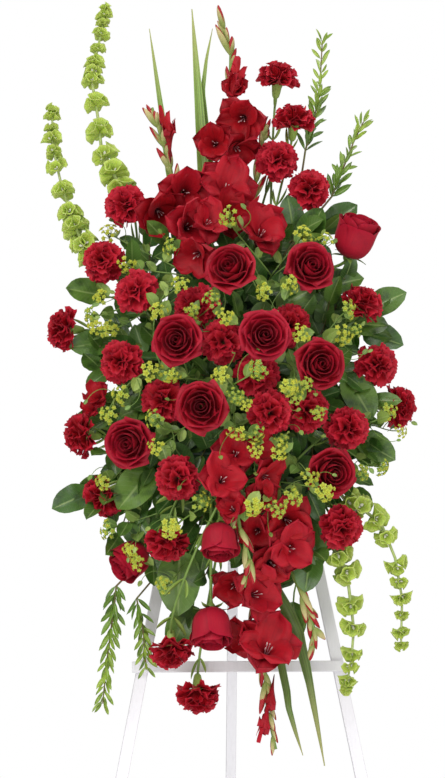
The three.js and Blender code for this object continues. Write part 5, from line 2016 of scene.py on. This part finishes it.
def round_leaves(lines, stems):
    """Round pale leaves that the thin stems run through, and a curled shoot on each stem."""
    collection = collection_of("round_patterns", salal_patterns(6, 4), 1.0)
    finish = leaf_finish("bupleurum leaves", "6F9440", "A9BC5C", "B9CB80",
                         0.45, 22.0, 10.0)
    places = Places(seed=82)
    random = places.random
    for line in lines:
        for share in ROUND_JOINTS:
            centre, along, side, other = frame_on(line, share)
            out = way_round(side, other, random.uniform(0, TURN))
            length = random.uniform(*ROUND_LENGTHS)
            wide = length * random.uniform(0.6, 0.8)
            way = out + along * random.uniform(0.2, 1.1)
            front = LEAF_FACE + random.uniform(-0.5, 0.5, 3)
            places.leaf(centre, way, front, wide, length, random.integers(LEAF_KINDS))
        centre, along, side, other = frame_on(line, random.uniform(0.7, 0.82))
        out = way_round(side, other, random.uniform(0, TURN))
        reach = random.uniform(*SHOOT_REACH)
        tip = centre + out * reach * 0.8 + along * reach * 0.7 + np.array((0, -8, -6))
        shoot = bezier(centre, centre + out * reach * 0.6, tip + out * reach * 0.1 - along * 16,
                       tip, 9)
        stems.add(shoot, 0.7, 0.45)
        size = random.uniform(8, 12)
        places.leaf(tip, tip - shoot[-2], LEAF_FACE, 0.6 * size, size, 0)
    set_out("bupleurum_leaves", places, collection, finish, "umbel_green")
    clear(collection)


class SPRAY_OT_umbels(bpy.types.Operator):
    """Scatter bupleurum between the blooms"""

    bl_idname = "spray.umbels"
    bl_label = "Bupleurum"

    def execute(self, context):
        green = colour("umbel")
        finish = Finish(
            "bupleurum", green, 0.55, Subsurface_Weight=0.1, Subsurface_Radius=(0.8, 1.0, 0.2),
            Subsurface_Scale=0.002,
        )
        tone = finish.attribute("tone")
        finish.lay(shade(green, 0.7), finish.span(tone, 0.2, 0.0))
        finish.lay("7E9E3C", finish.span(finish.attribute("tint"), 0.35, 0.75))
        finish.lay("E6DE46", finish.span(tone, 0.6, 1.0), 0.85)
        finish.lay(shade(green, 0.7), finish.span(finish.noise(260.0, 3.0), 0.52, 0.78))
        finish.raise_by(finish.noise(900.0, 2.0))
        wiry = finish.done(0.0003)
        patterns = [umbel_pattern(seed) for seed in range(51, 51 + UMBEL_KINDS)]
        collection = collection_of("umbel_patterns", patterns)
        for name, heads, places in heads_of(UMBELS, seed=70):
            for head in heads:
                spin = places.random.uniform(0, 6)
                turn = turn_to(head.face + places.random.uniform(-0.5, 0.5, 3), spin=spin)
                size = places.random.uniform(0.9, 1.1)
                places.add(head.at, turn, size, places.random.integers(UMBEL_KINDS))
            set_out(f"{name}_umbels", places, collection, wiry, "umbel_green", name)
        extra, stems, lines = Places(seed=80), Stems(), []
        for spot in MORE_UMBELS:
            at = place(spot)
            face = unit(((at[0] - CENTRE_X) / TURN_ACROSS, -1, 0.1))
            size = extra.random.uniform(0.7, 0.95)
            extra.add(at, turn_to(face), size, extra.random.integers(UMBEL_KINDS))
            lines.append(bent_stem(at, face, 10))
            stems.add(lines[-1], 0.9)
        set_out("bupleurum_filling", extra, collection, wiry, "umbel_green")
        bunch_stems(stems, UMBELS, UMBEL_STEM)
        lines += [line for _, line in stem_lines(UMBELS)]
        round_leaves(lines, stems)
        stem_piece("bupleurum_stems", stems, green_stems(), "stem_and_blade", sides=5)
        clear(collection)
        return {"FINISHED"}


@functools.cache
def salal_finish():
    return leaf_finish("salal leaves", colour("salal"), "6F8F35", "A9BF74", 0.38, 34.0, 16.0, 0.25)


class SPRAY_OT_salal(bpy.types.Operator):
    """Spread the broad salal leaves at the spray's edges"""

    bl_idname = "spray.salal"
    bl_label = "Salal leaves"

    def execute(self, context):
        collection = collection_of("salal_patterns", salal_patterns(), 1.0)
        for number, name in enumerate(SALAL):
            places = Places(90 + number)
            for head, foot, _ in layout().bunches[name]["stems"]:
                places.leaf(foot, head.face, LEAF_FACE, SALAL_WIDTH * head.size,
                            SALAL_LENGTH * head.size, places.random.integers(LEAF_KINDS))
            set_out(f"{name}_leaves", places, collection, salal_finish(), "leaf_salal", name)
        clear(collection)
        return {"FINISHED"}


class SPRAY_OT_myrtle(bpy.types.Operator):
    """Set narrow glossy leaves in pairs along the myrtle branches"""

    bl_idname = "spray.myrtle"
    bl_label = "Myrtle branches"

    def execute(self, context):
        glossy = leaf_finish("myrtle leaves", colour("myrtle"), "B6CC4C", "BCCF6C",
                             0.35, 20.0, 12.0, 0.3)
        collection = collection_of("myrtle_patterns", myrtle_patterns(), 1.0)
        twigs = Stems()
        for name, spike, places in spikes_of(MYRTLE, seed=100):
            random = places.random
            pairs = spike["pairs"] * sizes().myrtle_pairs
            bare = spike["bare"]
            for p in range(pairs):
                share = p / pairs
                centre, along, side, other = frame_on(
                    spike["line"], bare + (1 - bare) * min(share * 1.06, 0.995),
                )
                length = (MYRTLE_LONG - MYRTLE_SHRINK * share) * random.uniform(0.85, 1.1)
                for k in range(2):
                    angle = k * pi + p * 1.1 + random.uniform(-0.5, 0.5)
                    out = way_round(side, other, angle)
                    way = unit(out + along * random.uniform(0.9, 2.0))
                    front = LEAF_FACE + random.uniform(-0.6, 0.6, 3)
                    places.leaf(centre + out * 1.2, way, front, 0.36 * length, length,
                                random.integers(MYRTLE_KINDS),
                                ramp(share, 0, 0.8) * random.uniform(0.5, 1))
            set_out(f"{name}_leaves", places, collection, glossy, "leaf_myrtle", name)
            twigs.add([spike["root"], *spike["line"]], *MYRTLE_TWIG)
        stem_piece("myrtle_twigs", twigs, twig_finish(), "leaf_myrtle", sides=7)
        clear(collection)
        return {"FINISHED"}


@functools.cache
def twig_finish():
    return stem_finish("brown green twigs", "6B6A35", "7C5A3A")


BLADE_GRID = (40, 6)
BLADE_THICK = 0.0009


def fold_blade(pattern, line, half):
    """A blade that widens from its foot and ends in a point, folded along its middle."""
    line = in_frame(line)
    steps = np.linspace(0, 1, len(line))
    tangent = np.gradient(line, axis=0)
    side = np.cross(np.cross(tangent, (1, 0, 0)), tangent)
    side /= norm(side, axis=1, keepdims=True)
    side *= np.sign(side[:, :1])
    front = np.cross(side, tangent)
    front /= norm(front, axis=1, keepdims=True)

    def surface(u, v):
        wide = half * MM * np.sin(np.pi * np.clip(0.16 + 0.84 * v, 0, 0.985)) ** 0.75
        forward = 0.35 * wide * np.abs(u) - 0.0003
        return [
            np.interp(v, steps, line[:, k]) + np.interp(v, steps, side[:, k]) * u * wide
            + np.interp(v, steps, front[:, k]) * forward for k in range(3)
        ]

    # Hanging blades take tone 0, which the finish paints darker as shade
    hangs = line[-1][2] < line[0][2]
    pattern.sheet(surface, *BLADE_GRID, BLADE_THICK, tone=0.0 if hangs else 1.0)


class SPRAY_OT_blades(bpy.types.Operator):
    """Bend the long gladiolus blades along their paths"""

    bl_idname = "spray.blades"
    bl_label = "Leaf blades"

    def execute(self, context):
        green = colour("blade")
        blade = Finish("leaf blades", green, 0.45, Subsurface_Weight=0.1, **LEAF_GLOW)
        streaks = blade.noise(22.0, 3.0, (1.0, 0.03, 1.0), mapped=True)
        _, along = blade.map_parts()
        # Painted shade: hanging blades, with tone 0, are darker than the upright ones in the light
        hanging = blade.span(blade.attribute("tone"), 0.5, 0.0)
        blade.lay(shade(green, 0.42), hanging, 0.85)
        blade.lay(shade(green, 0.55), blade.span(streaks, 0.45, 0.62), blend="MULTIPLY")
        blade.lay("D5D9A0", blade.span(streaks, 0.55, 0.8), 0.6)
        blade.lay("C9C07C", blade.span(along, 0.75, 1.0), 0.6)
        blade.raise_by(streaks)
        streaked = blade.done(0.0006)
        for name in LEAF_BLADES:
            bundle = layout().spikes[name]
            pattern, stems = Pattern(), Stems()
            for line, half in bundle["blades"]:
                fold_blade(pattern, line, half)
                stems.add([bundle["root"], line[0], line[1]], 1.9)
            plain_piece(f"{name}_streaked", pattern, streaked, "stem_and_blade", name)
            stem_piece(f"{name}_feet", stems, green_stems(), "stem_and_blade")
        return {"FINISHED"}


# The sprigs' tips fill an ellipse that rounds forward in the middle
FILLING_HEIGHT = 1090
FILLING_ACROSS = 215
FILLING_UP = 265
FILLING_OUT = 170
FILLING_BACK = 95
COLLAR_LEAVES = 90
COLLAR_PAST = 6
COLLAR_OUT = 9
# Tips of more sprigs at the spray's edges: across, height and distance in front
EDGE_SPRIGS = [
    (-215, 1166, 80), (-216, 1136, 90), (-212, 934, 90), (-190, 952, 100), (-173, 906, 110),
    (-140, 1322, 90), (-150, 1340, 80), (-196, 1066, 105), (-167, 1290, 105), (-117, 1326, 105),
    (-186, 886, 95), (-150, 852, 95), (129, 1233, 105), (151, 1188, 105), (185, 1024, 85),
    (171, 1054, 105), (79, 849, 110), (112, 878, 100), (150, 966, 105), (153, 1268, 95),
    (25, 1309, 95), (56, 1332, 90), (87, 1340, 90), (-205, 1010, 100), (-60, 830, 110),
]
ROOT_TWO, ROOT_THREE = sqrt(2), sqrt(3)


def sprig_leaves(places, line, skip=3):
    """Leaves by turns along a sprig, and one at its end."""
    random, count = places.random, len(line)
    for i in range(skip, count, 2):
        along = unit(line[i] - line[i - 1])
        side = square_to(along, LEAF_FACE)
        sign = -1 if (i // 2) % 2 else 1
        last = i >= count - 2
        way = unit(along + side * sign * (0.15 if last else random.uniform(0.8, 1.6)))
        length = random.uniform(*SPRIG_LENGTHS)
        wide = length * random.uniform(0.48, 0.7)
        front = LEAF_FACE + random.uniform(-0.45, 0.45, 3)
        # Leaves nearer the foam take a lower tint, so less pale green: painted shade deep in the
        # spray
        places.leaf(line[i], way, front, wide, length, random.integers(LEAF_KINDS),
                    random.uniform(0, 1) * i / count)


class SPRAY_OT_filling(bpy.types.Operator):
    """Fill the spray's depth with leafy sprigs that stand in the foam"""

    bl_idname = "spray.filling"
    bl_label = "Filling foliage"

    def execute(self, context):
        collection = collection_of("filling_patterns", salal_patterns(8, 4), 1.0)
        dark, stems = Places(seed=120), Stems()
        random = dark.random
        for n in range(sizes().sprigs):
            share = (n + 0.5) / sizes().sprigs
            angle = n * GOLDEN
            far = share**0.5
            x = CENTRE_X + FILLING_ACROSS * far * cos(angle)
            height = FILLING_HEIGHT + FILLING_UP * far * sin(angle)
            out = FILLING_OUT - FILLING_BACK * far + random.uniform(-25, 12)
            tip = place((x, height, out))
            face = unit(((x - CENTRE_X) / 200, -0.9, (height - FILLING_HEIGHT) / 260))
            line = bent_stem(tip, face, 4, steps=10)
            stems.add(line, *SPRIG_TWIG)
            sprig_leaves(dark, line)
        for spot in EDGE_SPRIGS:
            line = bent_stem(place(spot), LEAF_FACE, 4)
            stems.add(line, *SPRIG_TWIG)
            sprig_leaves(dark, line, skip=5)
        for _, line in stem_lines(SALAL):
            sprig_leaves(dark, np.vstack([line[:1], line]), skip=4)
        half = np.array([FOAM_HALF_WIDTH, FOAM_HALF_HEIGHT]) + COLLAR_PAST
        for n in range(COLLAR_LEAVES):
            spot = np.array([half[0], -FOAM_FRONT - COLLAR_OUT, half[1]])
            spot[::2] *= 2 * np.array([(n * ROOT_TWO) % 1, (n * ROOT_THREE) % 1]) - 1
            foot = HOLDER_TURN @ spot + HOLDER_AT
            angle = random.uniform(0, TURN)
            way = (cos(angle), -random.uniform(0.3, 0.9), sin(angle))
            length = random.uniform(*COLLAR_LENGTHS)
            wide = length * random.uniform(0.5, 0.65)
            # Collar leaves round the foam take no pale tint: painted shade deep in the spray
            dark.leaf(foot, way, (0, -1, 0), wide, length, random.integers(LEAF_KINDS), tint=0)
        set_out("filling_leaves", dark, collection, salal_finish(), "leaf_salal")
        stem_piece("filling_twigs", stems, twig_finish(), "leaf_salal", sides=6)
        clear(collection)
        return {"FINISHED"}


class SPRAY_OT_stems(bpy.types.Operator):
    """Run every rose, carnation and salal stem into the foam"""

    bl_idname = "spray.stems"
    bl_label = "Stems"

    def execute(self, context):
        for title, bunches, thick, slot in (
            ("rose_stems", ROSES, ROSE_STEM, "stem_and_blade"),
            ("carnation_stems", CARNATIONS, CARNATION_STEM, "stem_and_blade"),
            ("salal_stalks", SALAL, SALAL_STEM, "leaf_salal"),
        ):
            stems = Stems()
            bunch_stems(stems, bunches, thick)
            stem_piece(title, stems, green_stems(), slot, sides=sizes().stem_sides)
        return {"FINISHED"}


# The photograph's eye, in metres: its place, the way that it looks, and its lens
EYE = (-0.1561, -3.6035, 1.100)
EYE_AIM = (0.0384, 0.9993, 0.0)
LENS = 107.08
SENSOR = 36.0
SKY_GLOW = 0.42
FLOOR_SIDES = 96
FLOOR_SOLID = 0.45
# Soft lamps round the spray: name, place, size and power
LAMP_AIM = (0, -0.1, 1.0)
LAMPS = (
    ("key light", (-1.6, -2.6, 2.9), 2.2, 62),
    ("fill light", (2.1, -2.3, 1.6), 2.4, 26),
    ("top light", (0.2, 0.4, 3.1), 2.0, 26),
    ("low light", (-0.3, -2.4, 0.15), 1.6, 18),
)


def set_camera():
    data = bpy.data.cameras.new("photograph")
    data.lens = LENS
    data.sensor_width = SENSOR
    camera = shown("photograph", data)
    camera.location = EYE
    camera.rotation_euler = Vector(EYE_AIM).to_track_quat("-Z", "Y").to_euler()
    bpy.context.scene.camera = camera


def set_world():
    world = bpy.data.worlds.new("white studio")
    world.use_nodes = True
    sky = Nodes()
    sky.tree = world.node_tree
    background = sky.tree.nodes["Background"]
    background.inputs["Color"].default_value = (1, 1, 1, 1)
    seen = sky.add("ShaderNodeLightPath").outputs["Is Camera Ray"]
    strength = sky.add("ShaderNodeMapRange", {"Value": seen, "To Min": SKY_GLOW, "To Max": 1.0})
    sky.tree.links.new(strength.outputs["Result"], background.inputs["Strength"])
    bpy.context.scene.world = world


def set_lamp(title, at, size, power):
    data = bpy.data.lights.new(title, "AREA")
    data.shape = "DISK"
    data.size = size
    data.energy = power
    lamp = shown(title, data)
    lamp.location = at
    aim = Vector(LAMP_AIM) - Vector(at)
    lamp.rotation_euler = aim.to_track_quat("-Z", "Y").to_euler()


def set_floor():
    mesh = bpy.data.meshes.new("floor")
    disc = bmesh.new()
    bmesh.ops.create_circle(disc, cap_ends=True, segments=FLOOR_SIDES, radius=sizes().floor)
    disc.to_mesh(mesh)
    disc.free()
    floor = shown("floor", mesh)
    pale = Finish("pale floor", (0.86, 0.86, 0.86), 0.7)
    far = pale.add("ShaderNodeVectorMath", {0: pale.spot()}, operation="LENGTH").outputs["Value"]
    pale.lay((0.8, 0.8, 0.81), pale.noise(6.0), 0.3)
    fade = pale.span(far, sizes().floor, sizes().floor * FLOOR_SOLID)
    pale.tree.links.new(fade, pale.shader.inputs["Alpha"])
    mesh.materials.append(pale.done())


class SPRAY_OT_stage(bpy.types.Operator):
    """Set the camera, a soft white studio and a pale floor"""

    bl_idname = "spray.stage"
    bl_label = "Studio"

    def execute(self, context):
        set_camera()
        set_world()
        for title, at, size, power in LAMPS:
            set_lamp(title, at, size, power)
        set_floor()
        context.scene.view_settings.view_transform = "Standard"
        return {"FINISHED"}


OPERATORS = (
    SPRAY_OT_stage, SPRAY_OT_easel, SPRAY_OT_holder, SPRAY_OT_roses, SPRAY_OT_carnations,
    SPRAY_OT_gladioli, SPRAY_OT_bells, SPRAY_OT_umbels, SPRAY_OT_salal, SPRAY_OT_myrtle,
    SPRAY_OT_blades, SPRAY_OT_filling, SPRAY_OT_stems,
)


class SPRAY_PT_panel(bpy.types.Panel):
    """Lists the spray's sizes, colours and pieces"""

    bl_idname = "SPRAY_PT_panel"
    bl_label = "Standing spray"
    bl_space_type = "VIEW_3D"
    bl_region_type = "UI"
    bl_category = "Spray"

    def draw(self, context):
        for group in (context.scene.spray_sizes, context.scene.spray_colours):
            box = self.layout.box()
            for title in group.__annotations__:
                box.prop(group, title)
        for operator in OPERATORS:
            self.layout.operator(operator.bl_idname)


CLASSES = (SpraySizes, SprayColours, *OPERATORS, SPRAY_PT_panel)


def register():
    for item in CLASSES:
        bpy.utils.register_class(item)
    bpy.types.Scene.spray_sizes = bpy.props.PointerProperty(type=SpraySizes)
    bpy.types.Scene.spray_colours = bpy.props.PointerProperty(type=SprayColours)


def unregister():
    del bpy.types.Scene.spray_colours
    del bpy.types.Scene.spray_sizes
    for item in reversed(CLASSES):
        bpy.utils.unregister_class(item)


def main():
    register()
    for operator in OPERATORS:
        family, title = operator.bl_idname.split(".")
        getattr(getattr(bpy.ops, family), title)()


if __name__ == "__main__":
    main()
